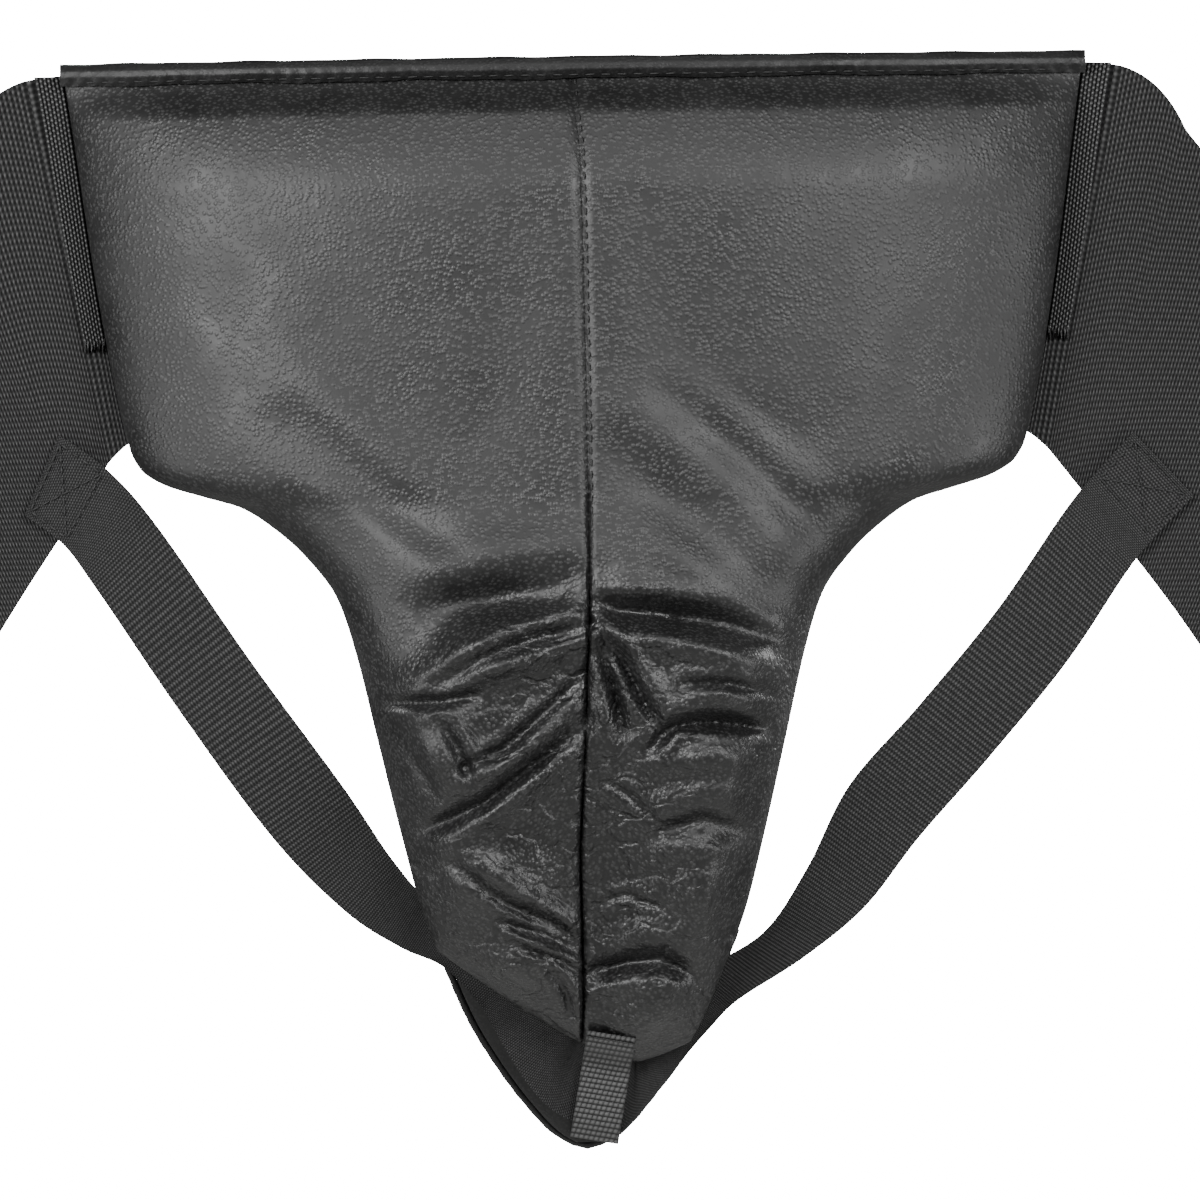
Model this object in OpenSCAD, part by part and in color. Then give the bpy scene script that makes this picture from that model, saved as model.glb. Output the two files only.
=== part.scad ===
// Groin protector for boxing: a padded leather shield with a hard cup inside,
// two wide elastic wings that close round the waist, and an elastic leg strap
// that runs through a webbing keeper at the tip.
// +Z is up, the front faces -Y, and the origin is at the middle of the waist,
// on the back of the lining at the height of the shield's top edge.

/* [Shield] */
// Width of the shield along its top edge
pad_w = 292; // [240:2:355]
// Height of the shield, from its top edge to its tip
pad_h = 311; // [255:2:375]
// Thickness of the abdominal pad at its middle
pad_t = 31; // [24:1:38]
// Thickness of the lower pad over the cup
groin_t = 39; // [37:1:47]
// Thickness of the shield at its rolled edges
edge_t = 7; // [6.5:0.5:9]
// How far the sides of the shield wrap back round the waist
wrap_back = 22; // [10:1:30]
// How far the tip tucks back between the legs
tuck_back = 50; // [30:1:65]

/* [Leather and lining] */
// Thickness of the front leather
leather_t = 1.3; // [0.9:0.1:1.6]
// Thickness of the lining
lining_t = 0.9; // [0.6:0.1:1.2]
// Height of the folded binding on the front of the top edge
binding_h = 5; // [4:0.5:8]
// Diameter of the cord in the edge piping
piping_d = 3; // [2:0.1:3.2]

/* [Cup] */
// Width of the hollow inside the cup
cup_w = 62; // [50:1:68]
// Height of the hollow inside the cup
cup_h = 88; // [76:1:104]
// Depth of the hollow inside the cup
cup_depth = 24; // [18:1:27]
// Wall of the cup
cup_wall = 2.6; // [2:0.1:3]
// Width of the flat flange round the cup
flange_w = 6; // [4:0.5:8]
// Width of the soft cushion round the flange
rim_w = 3; // [2:0.5:4]

/* [Elastic] */
// Width of the elastic wings
wing_w = 88; // [72:1:106]
// Length of the wings along their lower edge
wing_len = 208; // [170:2:250]
// Thickness of the wing elastic
wing_t = 1.8; // [1.2:0.1:2.2]
// Angle below level at which the left wing leaves the shield
left_droop = 56; // [45:1:65]
// Angle below level at which the right wing leaves the shield
right_droop = 52; // [45:1:65]
// Width of the leg strap
strap_w = 25; // [20:1:30]
// Thickness of the leg strap
strap_t = 1.4; // [1:0.1:1.6]

/* [Webbing] */
// Width of the keeper webbing
keeper_w = 14; // [11:1:17]
// Thickness of all the webbing
webbing_t = 1.2; // [0.8:0.1:1.6]
// Width of the webbing that covers each wing seam
seam_tape_w = 7; // [5:0.5:9]
// Length of the webbing that covers each wing seam
seam_tape_len = 77; // [60:1:94]

/* [Closure] */
// Length of the closure tab past the end of the left wing
tab_len = 52; // [40:1:65]
// Length of the loop patch on the right wing
loop_len = 90; // [70:1:110]
// Thickness of the hook and loop patches
patch_t = 1.5; // [1:0.1:2]

/* [Hidden] */

half_w = pad_w / 2;
gap = 0.3;             // clearance between neighbouring layers
seam_gap = 0.5;        // room for the centre seam between the two front covers
thread_d = 0.8;        // sewing thread, as a stitch
hinge_off = 2;       // distance of each wing's fold line outside the shield's edge
side_slope = 0.165;    // how much the straight sides lean in, per mm of height
side_end = 0.35;       // where the straight sides end, as a share of the height

leather = "#262626";
fabric = "#1c1c1c";
foam = "#8a8f96";
plastic = "#d9dad6";

// ---- small helpers ----
function clamp01(v) = min(1, max(0, v));
function smooth(v) = let (c = clamp01(v)) c * c * (3 - 2 * c);
function mix(a, b, f) = a + (b - a) * f;
function flat2(rows) = [for (r = rows) for (p = r) p];

// A closed solid between a front grid and a back grid of points of one size.
// Rows run down and columns run to the right, as seen from the front.
module grid_solid(front, back) {
    m = len(front) - 1;
    n = len(front[0]) - 1;
    w = n + 1;
    k = (m + 1) * w;
    faces = concat(
        [for (i = [0:m - 1]) for (j = [0:n - 1]) [i * w + j, i * w + j + 1, (i + 1) * w + j + 1]],
        [for (i = [0:m - 1]) for (j = [0:n - 1]) [i * w + j, (i + 1) * w + j + 1, (i + 1) * w + j]],
        [for (i = [0:m - 1]) for (j = [0:n - 1]) [k + i * w + j, k + (i + 1) * w + j + 1, k + i * w + j + 1]],
        [for (i = [0:m - 1]) for (j = [0:n - 1]) [k + i * w + j, k + (i + 1) * w + j, k + (i + 1) * w + j + 1]],
        [for (j = [0:n - 1]) each [[j, k + j, k + j + 1], [j, k + j + 1, j + 1]]],
        [for (j = [0:n - 1]) let (a = m * w + j) each [[a, a + 1, k + a + 1], [a, k + a + 1, k + a]]],
        [for (i = [0:m - 1]) let (a = i * w) each [[a, a + w, k + a + w], [a, k + a + w, k + a]]],
        [for (i = [0:m - 1]) let (a = i * w + n) each [[a, k + a, k + a + w], [a, k + a + w, a + w]]]);
    polyhedron(points = concat(flat2(front), flat2(back)), faces = faces, convexity = 6);
}

// The same solid seen in a mirror, for grids whose columns run to the left.
module grid_solid_flipped(front, back) {
    turn = function (g) [for (r = g) [for (j = [len(r) - 1:-1:0]) r[j]]];
    grid_solid(turn(front), turn(back));
}

// A row of rings joined into a closed tube or strip; every ring has the same number of points.
module ring_solid(rings) {
    m = len(rings) - 1;
    n = len(rings[0]);
    faces = concat(
        [for (i = [0:m - 1]) for (j = [0:n - 1]) let (k = (j + 1) % n)
            each [[i * n + j, i * n + k, (i + 1) * n + k], [i * n + j, (i + 1) * n + k, (i + 1) * n + j]]],
        [[for (j = [n - 1:-1:0]) j]],
        [[for (j = [0:n - 1]) m * n + j]]);
    polyhedron(points = flat2(rings), faces = faces, convexity = 6);
}

// One sewing stitch lying in a plane that faces the front, at an angle above level.
module stitch(at, angle, length = 3) {
    translate(at) rotate([0, 90 - angle, 0])
        cylinder(d = thread_d, h = length, center = true, $fn = 16);
}

// ---- the outline and the layers of the shield ----
// Half the width at each depth: percent of the height, percent of half the top width.
outline = [[0, 100], [35, 87.7], [37, 85.5], [38.4, 81], [39.6, 73], [40.6, 66], [42.4, 60],
           [45, 53.8], [49, 47.5], [54, 44], [62, 40], [71, 35.5], [78, 31.6], [83, 27.5],
           [88, 23], [92.5, 17.3], [96, 11.8], [98.6, 6.6], [100, 1.5]];
function half_at(z) = half_w / 100 * lookup(-z / pad_h * 100, outline);
function place(px, pz) = [px / 100 * half_w, -pz / 100 * pad_h];

// The surface that the back of the lining follows, before the cup and the strap.
function back_y(x, z) = wrap_back * pow(x / half_w, 2) + tuck_back * pow(max(0, -z / pad_h - 0.48) / 0.52, 2);

// The lower end of the padded front, an arc that hangs lowest beside the keeper.
end_low = 0.92 * pad_h;
end_low_x = 15;
function front_end(x) = -end_low + 0.256 * pow(abs(x - end_low_x), 1.2);
function end_z(u) =
    let (a = front_end(u * half_at(-0.87 * pad_h)))
    let (b = front_end(u * half_at(a)))
    front_end(u * half_at(b));

// The slit between the padded front and the crotch flap, which the leg strap runs through.
flap_t = 4.5;
slit_room = strap_t + 0.9;
slit_full = flap_t + slit_room;
function slit_z(x) = -0.785 * pad_h - (x < 0 ? 0.36 : 0.1) * x;
slit_rise = 5;
function slit(x, z) = slit_full * smooth((slit_z(x) - z) / slit_rise);

// The hollow of the cup: an egg shape, wider at the top.
cup_z = -0.585 * pad_h;
cup_egg = 0.25;
function cup_r(x, z) =
    let (q = (z - cup_z) / (cup_h / 2))
    norm([x / (cup_w / 2 * (1 + cup_egg * q)), q]);
function hollow(r) = cup_depth * max(0, 1 - pow(r, 2.6));

// Thickness of the padding from the back surface to the face of the leather.
function pad_thick(z) = let (f = -z / pad_h) lookup(f,
    [[0, edge_t + 1], [0.016, edge_t + 2.5], [0.05, 0.72 * pad_t], [0.12, 0.95 * pad_t], [0.25, pad_t],
     [0.42, 0.97 * pad_t], [0.54, mix(pad_t, groin_t, 0.6)], [0.62, groin_t], [0.74, groin_t],
     [0.82, 0.82 * groin_t], [0.92, 0.5 * groin_t]]);
function trough(x, z) = let (f = -z / pad_h)
    5 * smooth((f - 0.5) / 0.08) * smooth((0.9 - f) / 0.08) * exp(-pow(x / 15, 2));
function thick(x, z) =
    let (edge = max(edge_t, slit(x, z) + 4.2))
    let (u = min(1, abs(x) / half_at(z)))
    let (near_end = clamp01((z - front_end(x)) / 14))
    let (roll = sqrt(1 - pow(1 - near_end, 2)))
    edge + max(0, pad_thick(z) - edge - trough(x, z)) * sqrt(1 - pow(u, 5)) * roll;
function front_y(x, z) = back_y(x, z) - thick(x, z);

// Rows down the padded part as shares of its height, closer together round the hips.
rows = [0, 0.018, 0.05, 0.1, 0.16, 0.22, 0.28, 0.34, 0.39, 0.42, 0.435, 0.45, 0.47, 0.5, 0.54, 0.58,
        0.63, 0.68, 0.74, 0.8, 0.86, 0.91, 0.95, 0.98, 1];
cols = 12;

module front_cover(side) {
    xz = [for (v = rows) [for (j = [0:cols]) let (u = sin(90 * j / cols))
        let (z = v * end_z(side * u))
        [side * (seam_gap / 2 + u * (half_at(z) - seam_gap / 2)), z]]];
    face = [for (r = xz) [for (p = r) [p.x, front_y(p.x, p.y), p.y]]];
    inside = [for (r = xz) [for (p = r) [p.x, front_y(p.x, p.y) + leather_t, p.y]]];
    if (side > 0) grid_solid(face, inside);
    else grid_solid_flipped(face, inside);
}
module front_cover_left() color(leather) front_cover(-1);
module front_cover_right() color(leather) front_cover(1);

// Top stitching beside the centre seam.
module front_seam_stitches() color("#3a3a3a")
    for (z = [-17.6:-4.6:-0.45 * pad_h])
        stitch([2.6, front_y(2.6, z) - thread_d / 2 - 1.1, z], 90);

// The folded leather strip over the top edge, swept across the shield.
module top_binding() color(leather) {
    lt = leather_t;
    // The outside and the inside of the fold in y and z, from its back edge over the top to its front edge.
    outside = function (f0, f1, b) [[b + lt, -binding_h], [b + lt, gap], [b + lt / 2, gap + lt],
        [f0 - lt / 2, gap + lt], [f0 - lt, gap], [f1 - lt, -binding_h]];
    inside = function (f0, f1, b) [[b, -binding_h], [b, 0], [b - gap, gap], [f0 + gap, gap], [f0, 0], [f1, -binding_h]];
    n = 24;
    reach = half_w - 1.2;
    fold = function (section) [for (k = [0:5]) [for (i = [0:n])
        let (x = mix(-reach, reach, i / n), f0 = front_y(x, 0) - gap)
        let (f1 = min(front_y(x, -binding_h), f0) - 2 * gap)
        let (p = section(f0, f1, back_y(x, 0) + gap)[k])
        [x, p[0], p[1]]]];
    grid_solid(fold(outside), fold(inside));
}
module binding_stitches() color("#3a3a3a")
    for (x = [-half_w + 6:4.6:half_w - 6]) {
        z = -binding_h + 1.6;
        f0 = front_y(x, 0) - gap;
        f1 = min(front_y(x, -binding_h), f0) - 2 * gap;
        y = mix(f0, f1, -z / binding_h) - leather_t - thread_d / 2 - 0.4;
        stitch([x, y, z], 0);
    }

// ---- foam inside the shield ----
foam_inset = 12;
foam_bottom = 0.345 * pad_h;
foam_rows = 8;
// Room between the layers inside the shield.
layer_gap = 0.8;
board_t = 6;
module foam_sheet(y_front, y_back) {
    xz = [for (i = [0:foam_rows]) [for (j = [-cols:cols])
        let (z = -mix(6, foam_bottom, i / foam_rows))
        [sin(90 * j / cols) * (half_at(z) - foam_inset), z]]];
    grid_solid([for (r = xz) [for (p = r) [p.x, y_front(p.x, p.y), p.y]]],
               [for (r = xz) [for (p = r) [p.x, y_back(p.x, p.y), p.y]]]);
}
board_back = function (x, z) back_y(x, z) - lining_t - layer_gap;
function board_thick(x, z) = min(board_t, 0.5 * (thick(x, z) - leather_t - lining_t - 3 * layer_gap));
board_front = function (x, z) board_back(x, z) - board_thick(x, z);
module firm_foam_board() color("#5c6168") foam_sheet(board_front, board_back);
module abdominal_foam() color(foam)
    foam_sheet(function (x, z) front_y(x, z) + leather_t + 2 * layer_gap,
               function (x, z) board_front(x, z) - layer_gap);

// ---- the cup and what lies round it, on rings about the cup's middle ----
spokes = 48;
function egg(r, a) = let (q = r * sin(a)) [cup_w / 2 * (1 + cup_egg * q) * r * cos(a), cup_z + cup_h / 2 * q];
function ring_y(p, r, extra) = back_y(p.x, p.y) - slit(p.x, p.y) - hollow(r) - lining_t - extra;
flange_r = 1 + flange_w / (cup_w / 2);
rim_r = flange_r + rim_w / (cup_w / 2);
dome_edge = 1.62;  // the lining lies flat again past this share of the half width of the cup
// Rings spread from the middle to a radius, with every ring a full turn of points.
function rings_to(radii, extra) = [for (r = radii) [for (k = [spokes:-1:0]) let (p = egg(r, 360 * k / spokes))
    [p.x, ring_y(p, r, extra), p.y]]];
dome_radii = [0.04, 0.3, 0.5, 0.66, 0.8, 0.91, 1];

// A dish between two sets of rings, with its middle and its rim closed.
module dish(front, back) {
    m = len(front) - 1;
    w = spokes;
    k = (m + 1) * w;
    cut = function (g) [for (r = g) for (j = [0:w - 1]) r[j]];
    nx = function (j) (j + 1) % w;
    faces = concat(
        [for (i = [0:m - 1]) for (j = [0:w - 1]) each [[i * w + j, (i + 1) * w + nx(j), i * w + nx(j)],
                                                      [i * w + j, (i + 1) * w + j, (i + 1) * w + nx(j)]]],
        [for (i = [0:m - 1]) for (j = [0:w - 1]) each [[k + i * w + j, k + i * w + nx(j), k + (i + 1) * w + nx(j)],
                                                      [k + i * w + j, k + (i + 1) * w + nx(j), k + (i + 1) * w + j]]],
        [for (j = [0:w - 1]) let (a = m * w) each [[a + j, k + a + nx(j), a + nx(j)],
                                                   [a + j, k + a + j, k + a + nx(j)]]],
        [[for (j = [0:w - 1]) j]],
        [[for (j = [w - 1:-1:0]) k + j]]);
    polyhedron(points = concat(cut(front), cut(back)), faces = faces, convexity = 6);
}
module cup_shell() color(plastic) {
    radii = concat(dome_radii, [flange_r]);
    dish(rings_to(radii, gap + cup_wall), rings_to(radii, gap));
}
module cup_rim_cushion() color("#3b3b3b") {
    band = [flange_r + 0.02, rim_r];
    ring_of = function (a) let (p0 = egg(band[0], a)) let (p1 = egg(band[1], a))
        [[p0.x, ring_y(p0, 2, gap + cup_wall), p0.y], [p1.x, ring_y(p1, 2, gap + cup_wall), p1.y],
         [p1.x, ring_y(p1, 2, gap), p1.y], [p0.x, ring_y(p0, 2, gap), p0.y]];
    rings = [for (k = [0:spokes - 1]) ring_of(360 * k / spokes)];
    n = 4;
    faces = [for (i = [0:spokes - 1]) for (j = [0:n - 1]) let (a = ((i + 1) % spokes) * n) let (c = (j + 1) % n)
        each [[i * n + j, a + c, i * n + c], [i * n + j, a + j, a + c]]];
    polyhedron(points = flat2(rings), faces = faces, convexity = 6);
}
module groin_foam() color(foam) {
    outer = [rim_r + 0.04, rim_r + 0.1];
    radii = concat(dome_radii, outer);
    face = [for (r = radii) [for (k = [spokes:-1:0]) let (p = egg(r, 360 * k / spokes))
        [p.x, min(front_y(p.x, p.y) + leather_t + 1, ring_y(p, r, cup_wall + 2 * gap) - 1), p.y]]];
    rear = [for (r = radii) [for (k = [spokes:-1:0]) let (p = egg(r, 360 * k / spokes))
        [p.x, ring_y(p, r, cup_wall + 2 * gap), p.y]]];
    dish(face, rear);
}

// The lining: rings inside the cup's hollow that spread out to the outline of the padded part.
// The outline of the padded part as a loop of points, from the middle of one side right round.
function edge_point(u, v) = let (z = v * end_z(u)) [u * (half_at(z) - 0.3), z];
loop = concat([for (v = [0.66, 0.58, 0.5, 0.44, 0.4, 0.27, 0.13]) [1, v]],
    [for (u = [1:-0.2:-1]) [u, 0]],
    [for (v = [0.13, 0.27, 0.4, 0.44, 0.5, 0.57, 0.64, 0.71, 0.78, 0.85, 0.92, 0.97]) [-1, v]],
    [for (u = [-1:0.2:1]) [u, 1]],
    [for (v = [0.97, 0.93, 0.88, 0.83, 0.78, 0.74, 0.7]) [1, v]]);
module back_lining() color(fabric) {
    out = [for (p = loop) edge_point(p[0], p[1])];
    ring_at = function (f) [for (k = [spokes:-1:0]) let (a = egg(dome_edge, 360 * k / spokes))
        let (b = out[k % spokes]) [mix(a.x, b.x, f), mix(a.y, b.y, f)]];
    inner = [for (r = concat(dome_radii, [flange_r, rim_r, dome_edge]))
        [for (k = [spokes:-1:0]) concat(egg(r, 360 * k / spokes), [hollow(r)])]];
    outer = [for (f = [0.25, 0.5, 0.75, 1]) [for (p = ring_at(f)) concat(p, [0])]];
    all = concat(inner, outer);
    y0 = function (p) back_y(p.x, p.y) - p[2] - slit(p.x, p.y);
    dish([for (r = all) [for (p = r) [p.x, y0(p) - lining_t, p.y]]],
         [for (r = all) [for (p = r) [p.x, y0(p), p.y]]]);
}

// ---- the piped edges ----
function outline_at(side, z) =
    let (p = [half_at(z), z], q = [half_at(z - 1), z - 1])
    let (d = (q - p) / norm(q - p))
    [side * p.x, p.y, side * d.y, -d.x];
// A round cord whose path points are [x, y, z] with the outward direction [nx, nz] after them.
module cord(path, r) {
    sides = 8;
    ring_solid([for (p = path) [for (k = [sides - 1:-1:0]) let (a = 360 * k / sides)
        [p[0] + r * cos(a) * p[3], p[1] + r * sin(a), p[2] + r * cos(a) * p[4]]]]);
}
piping_in = 2;
piping_y = 3.3;
module piping(side) {
    top = -0.375 * pad_h;
    bottom = slit_z(side * half_at(slit_z(side * 40))) + 5;
    zs = concat([for (i = [0:6]) mix(top, -0.43 * pad_h, i / 6)],
                [for (i = [1:9]) mix(-0.43 * pad_h, bottom, i / 9)]);
    cord([for (z = zs) let (o = outline_at(side, z))
        let (x = o[0] + o[2] * piping_in, zz = o[1] + o[3] * piping_in)
        [x, back_y(x, zz) - piping_y, zz, side * o[2], side * o[3]]], piping_d / 2);
}
module piping_left() color(leather) piping(-1);
module piping_right() color(leather) piping(1);

// ---- the crotch flap at the tip ----
edging_r = 1.1;
flap_in = 3.3;
module crotch_flap() color(leather) {
    top = function (x) slit_z(x) - 6;
    bottom = -(pad_h - 2.2);
    n = 10;
    xz = [for (i = [0:n]) [for (j = [-6:6])
        let (u = sin(15 * j))
        let (z0 = mix(top(0), bottom, i / n))
        let (z = z0 - 0.3 * u * half_at(z0) * (1 - i / n))
        [u * max(0.8, half_at(z) - flap_in), z]]];
    grid_solid([for (r = xz) [for (p = r)
                   [p.x, back_y(p.x, p.y) - max(0.8, min(flap_t, slit(p.x, p.y) - slit_room)), p.y]]],
               [for (r = xz) [for (p = r) [p.x, back_y(p.x, p.y), p.y]]]);
}
module flap_edging() color(leather) {
    down = [for (i = [0:11]) mix(slit_z(0) - 24, -(pad_h - 1.3), i / 11)];
    in = 0.55;
    path = function (side, zs) [for (z = zs) let (o = outline_at(side, z))
        let (x = o[0] + o[2] * in, zz = o[1] + o[3] * in)
        [x, back_y(x, zz) - flap_t / 2, zz, -o[2], -o[3]]];
    left = path(-1, down);
    right = path(1, [for (i = [11:-1:0]) down[i]]);
    tip = [0, back_y(0, -pad_h) - flap_t / 2, -pad_h + 0.8, 0, -1];
    cord(concat(left, [tip], right), edging_r);
}

// ---- the wings ----
sweep_deg = 7;
root_top = 2;
root_low = 0.345 * pad_h;
edge_in = 3.4;
side_x = half_at(-root_low) + hinge_off;
function fold_y(z) = let (zc = max(-root_low, z)) back_y(half_at(zc), zc) - edge_in;
side_y = fold_y(-root_low);
function wing_y(x, z) = let (zc = max(-root_low, min(-root_top, z)))
    fold_y(zc) + tan(sweep_deg) * (abs(x) - half_at(zc) - hinge_off);
end_droop = 80;
wing_steps = 16;
function droop_at(d0, f) = mix(d0, end_droop, smooth((f - 0.15) / 0.85));
// The lower edge as a running sum of steps down the slope.
function low_edge(d0, i) = i <= 0 ? [side_x, -root_low]
    : let (d = droop_at(d0, (i - 0.5) / wing_steps), s = wing_len / wing_steps)
      low_edge(d0, i - 1) + s * [cos(d), -sin(d)];
// The top edge starts at the shield's corner and rounds over into the slope.
lead = 0.9 * root_low * sin(50);
function top_edge(d0, f) =
    let (q = mix(-lead, wing_len, f))
    let (n0 = [sin(d0), cos(d0)], e0 = [cos(d0), -sin(d0)])
    let (turn = -lead + 34)
    q < turn
        ? let (t = (q + lead) / 34)
          let (a = [half_at(-root_top) + hinge_off, -root_top])
          let (c = [side_x, -root_low] + wing_w * n0 + turn * e0)
          let (b = [a.x + 19, a.y + 0.5])
          (1 - t) * (1 - t) * a + 2 * t * (1 - t) * b + t * t * c
        : q < 0
        ? [side_x, -root_low] + wing_w * n0 + q * e0
        : let (g = q / wing_len * wing_steps, i = floor(min(g, wing_steps - 0.001)))
          let (d = droop_at(d0, g / wing_steps))
          mix(low_edge(d0, i), low_edge(d0, i + 1), g - i) + wing_w * [sin(d), cos(d)];
module wing(side, d0) {
    across = 5;
    n = 20;
    xz = [for (i = [0:n]) let (f = i / n)
        let (g = f * wing_steps, k = floor(min(g, wing_steps - 0.001)))
        let (lo = mix(low_edge(d0, k), low_edge(d0, k + 1), g - k), up = top_edge(d0, f))
        [for (j = [0:across]) let (p = i == 0
            ? let (z = mix(-root_low, -root_top, j / across)) [half_at(z) + hinge_off, z]
            : mix(lo, up, j / across)) p]];
    shift = function (dy) [for (r = xz) [for (p = r) [side * p.x, wing_y(p.x, p.y) + dy, p.y]]];
    if (side > 0) grid_solid(shift(-wing_t / 2), shift(wing_t / 2));
    else grid_solid_flipped(shift(-wing_t / 2), shift(wing_t / 2));
}
module left_wing() color(fabric) wing(-1, left_droop);
module right_wing() color(fabric) wing(1, right_droop);

// The webbing that covers the front of each wing's seam.
module seam_tape(side) {
    n = 6;
    xz = [for (i = [0:n]) let (z = -mix(root_top + 0.5, root_top + seam_tape_len, i / n))
        [for (j = [0, 1]) [half_at(z) + hinge_off + 0.4 + j * seam_tape_w * mix(1, 0.72, i / n), z]]];
    face = function (dy) [for (r = xz) [for (p = r) [side * p.x, wing_y(p.x, p.y) - wing_t / 2 - dy, p.y]]];
    if (side > 0) grid_solid(face(gap + webbing_t), face(gap));
    else grid_solid_flipped(face(gap + webbing_t), face(gap));
}
module left_seam_tape() color("#2e2e2e") seam_tape(-1);
module right_seam_tape() color("#2e2e2e") seam_tape(1);

// ---- the leg strap ----
// Stations along the strap from its left end to its right end: place in percent of the shield's
// half width and height, the angle of its width above level, how far its width opens, and how far
// it lies out on the wing (1) or in the slit at the tip (0).
strap_path = [
    [-105, 37.3, 66, 1, 1], [-96.4, 40.4, 60, 1, 1], [-88, 45.4, 44, 1, 0.9], [-71.5, 57, 37, 1, 0.6],
    [-54, 68.5, 35, 1, 0.3], [-42, 75.5, 45, 0.8, 0.1], [-33, 79, 57, 0.65, 0], [-23.3, 80.6, 50, 0.8, 0],
    [-15, 84.3, 42, 0.88, 0], [-10.8, 87.8, 38, 0.88, 0], [-6.1, 91.5, 52, 0.92, 0], [-1.6, 93.5, 80, 1, 0],
    [7.9, 94.3, 80, 1, 0], [10.3, 92.4, 100, 0.92, 0], [12.3, 90.9, 118, 0.85, 0], [14.5, 89.4, 135, 0.8, 0],
    [20, 87.3, 140, 0.66, 0], [26.4, 85, 140, 0.55, 0], [39, 81.4, 148, 0.55, 0.05], [49.3, 76.2, 145, 0.8, 0.2],
    [59, 69.2, 142, 1, 0.35], [73, 61.9, 141, 1, 0.6], [88.4, 53.3, 140, 1, 0.85], [100.7, 45, 134, 1, 1],
    [106.4, 41.7, 130, 1, 1], [114.6, 37.7, 133, 1, 1]];
left_in = 6;
right_in = 18;
tab_lift = wing_t / 2 + gap + strap_t / 2;
function strap_y(x, z, out) = mix(back_y(x, z) - flap_t - slit_room / 2, wing_y(x, z) - tab_lift, out);
// A point on a smooth curve through four neighbouring stations.
function curve4(a, b, c, d, t) =
    0.5 * (2 * b + (c - a) * t + (2 * a - 5 * b + 4 * c - d) * t * t + (3 * b - a - 3 * c + d) * t * t * t);
function station(s) =
    let (last = len(strap_path) - 1)
    let (i = min(last - 1, floor(s)), t = s - i)
    curve4(strap_path[max(0, i - 1)], strap_path[i], strap_path[i + 1], strap_path[min(last, i + 2)], t);
function strap_row(s) =
    let (p = station(s), c = place(p[0], p[1]), h = strap_w / 2 * p[3])
    [for (k = [-1, 0, 1]) let (x = c.x + k * h * cos(p[2]), z = c.y + k * h * sin(p[2])) [x, z, clamp01(p[4])]];
module strap(from, to, per) {
    n = round((to - from) * per);
    xz = [for (i = [0:n]) strap_row(mix(from, to, i / n))];
    sheet = function (dy) [for (r = xz) [for (p = r) [p[0], strap_y(p[0], p[1], p[2]) + dy, p[1]]]];
    grid_solid(sheet(-strap_t / 2), sheet(strap_t / 2));
}
module left_leg_strap() color(fabric) strap(0, left_in - 0.05, 3);
module leg_strap_middle() color(fabric) strap(left_in, right_in, 2);
module right_leg_strap() color(fabric) strap(right_in + 0.05, len(strap_path) - 1, 3);

// A box of stitches that sews the end of the strap to the wing.
module strap_stitches(from, to) {
    a = strap_row(from);
    b = strap_row(to);
    corner = [a[0], a[2], b[2], b[0]];
    inset = 0.14;
    mid = (a[1] + b[1]) / 2;
    for (k = [0:3]) {
        p = mix(corner[k], mid, inset);
        q = mix(corner[(k + 1) % 4], mid, inset);
        n = floor(norm(q - p) / 4);
        for (i = [0:n - 1]) {
            c = mix(p, q, (i + 0.5) / n);
            stitch([c[0], wing_y(c[0], c[1]) - tab_lift - strap_t / 2 - thread_d / 2 - 0.4, c[1]],
                   atan2(q[1] - p[1], q[0] - p[0]), 2.8);
        }
    }
}
module left_strap_stitches() color("#3a3a3a") strap_stitches(0.1, 0.95);
module right_strap_stitches() color("#3a3a3a") strap_stitches(len(strap_path) - 1.95, len(strap_path) - 1.1);

// ---- the keeper ----
keeper_tilt = 10;
keeper_top = place(5, 89.4);
keeper_len = pad_h - 1.6 + keeper_top.y;
function keeper_xz(k, w) = keeper_top + k * [-sin(keeper_tilt), -cos(keeper_tilt)]
    + w * [cos(keeper_tilt), -sin(keeper_tilt)];
over_strap = flap_t + slit_room + 0.4;
// Distance down the keeper below the padded front, and how far its back face stands off the back surface.
keeper_path = [[6, slit_full + 5], [8, slit_full + 3], [10, over_strap + 0.6], [20, over_strap + 0.2],
               [26, over_strap], [keeper_len, flap_t + 0.5]];
keeper_rows = [0, 1.5, 3, 4, 5, 6, 7, 8, 10, 14, 20, 26, keeper_len];
// On the padded front the keeper lies on the leather.
function on_pad(p) = p.y > front_end(p.x) - 1 ? thick(p.x, max(p.y, front_end(p.x))) + 0.7 : 0;
function keeper_up(k) = max([lookup(k, keeper_path),
    for (w = [-0.5, -0.25, 0, 0.25, 0.5]) on_pad(keeper_xz(k, w * keeper_w))]);
function keeper_y(p, k) = back_y(p.x, p.y) - keeper_up(k);
module strap_keeper() color("#4a4a4a") {
    sheet = function (up) [for (k = keeper_rows) [for (w = [-0.5, 0, 0.5])
        let (p = keeper_xz(k, w * keeper_w)) [p.x, keeper_y(p, k) - up, p.y]]];
    grid_solid(sheet(webbing_t), sheet(0));
}
module keeper_stitches() color("#3a3a3a")
    for (w = [-0.42:0.14:0.42]) {
        k = 1.6;
        p = keeper_xz(k, w * keeper_w);
        stitch([p.x, keeper_y(p, k) - webbing_t - thread_d / 2 - 0.9, p.y], 90 - keeper_tilt, 1.6);
    }

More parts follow.
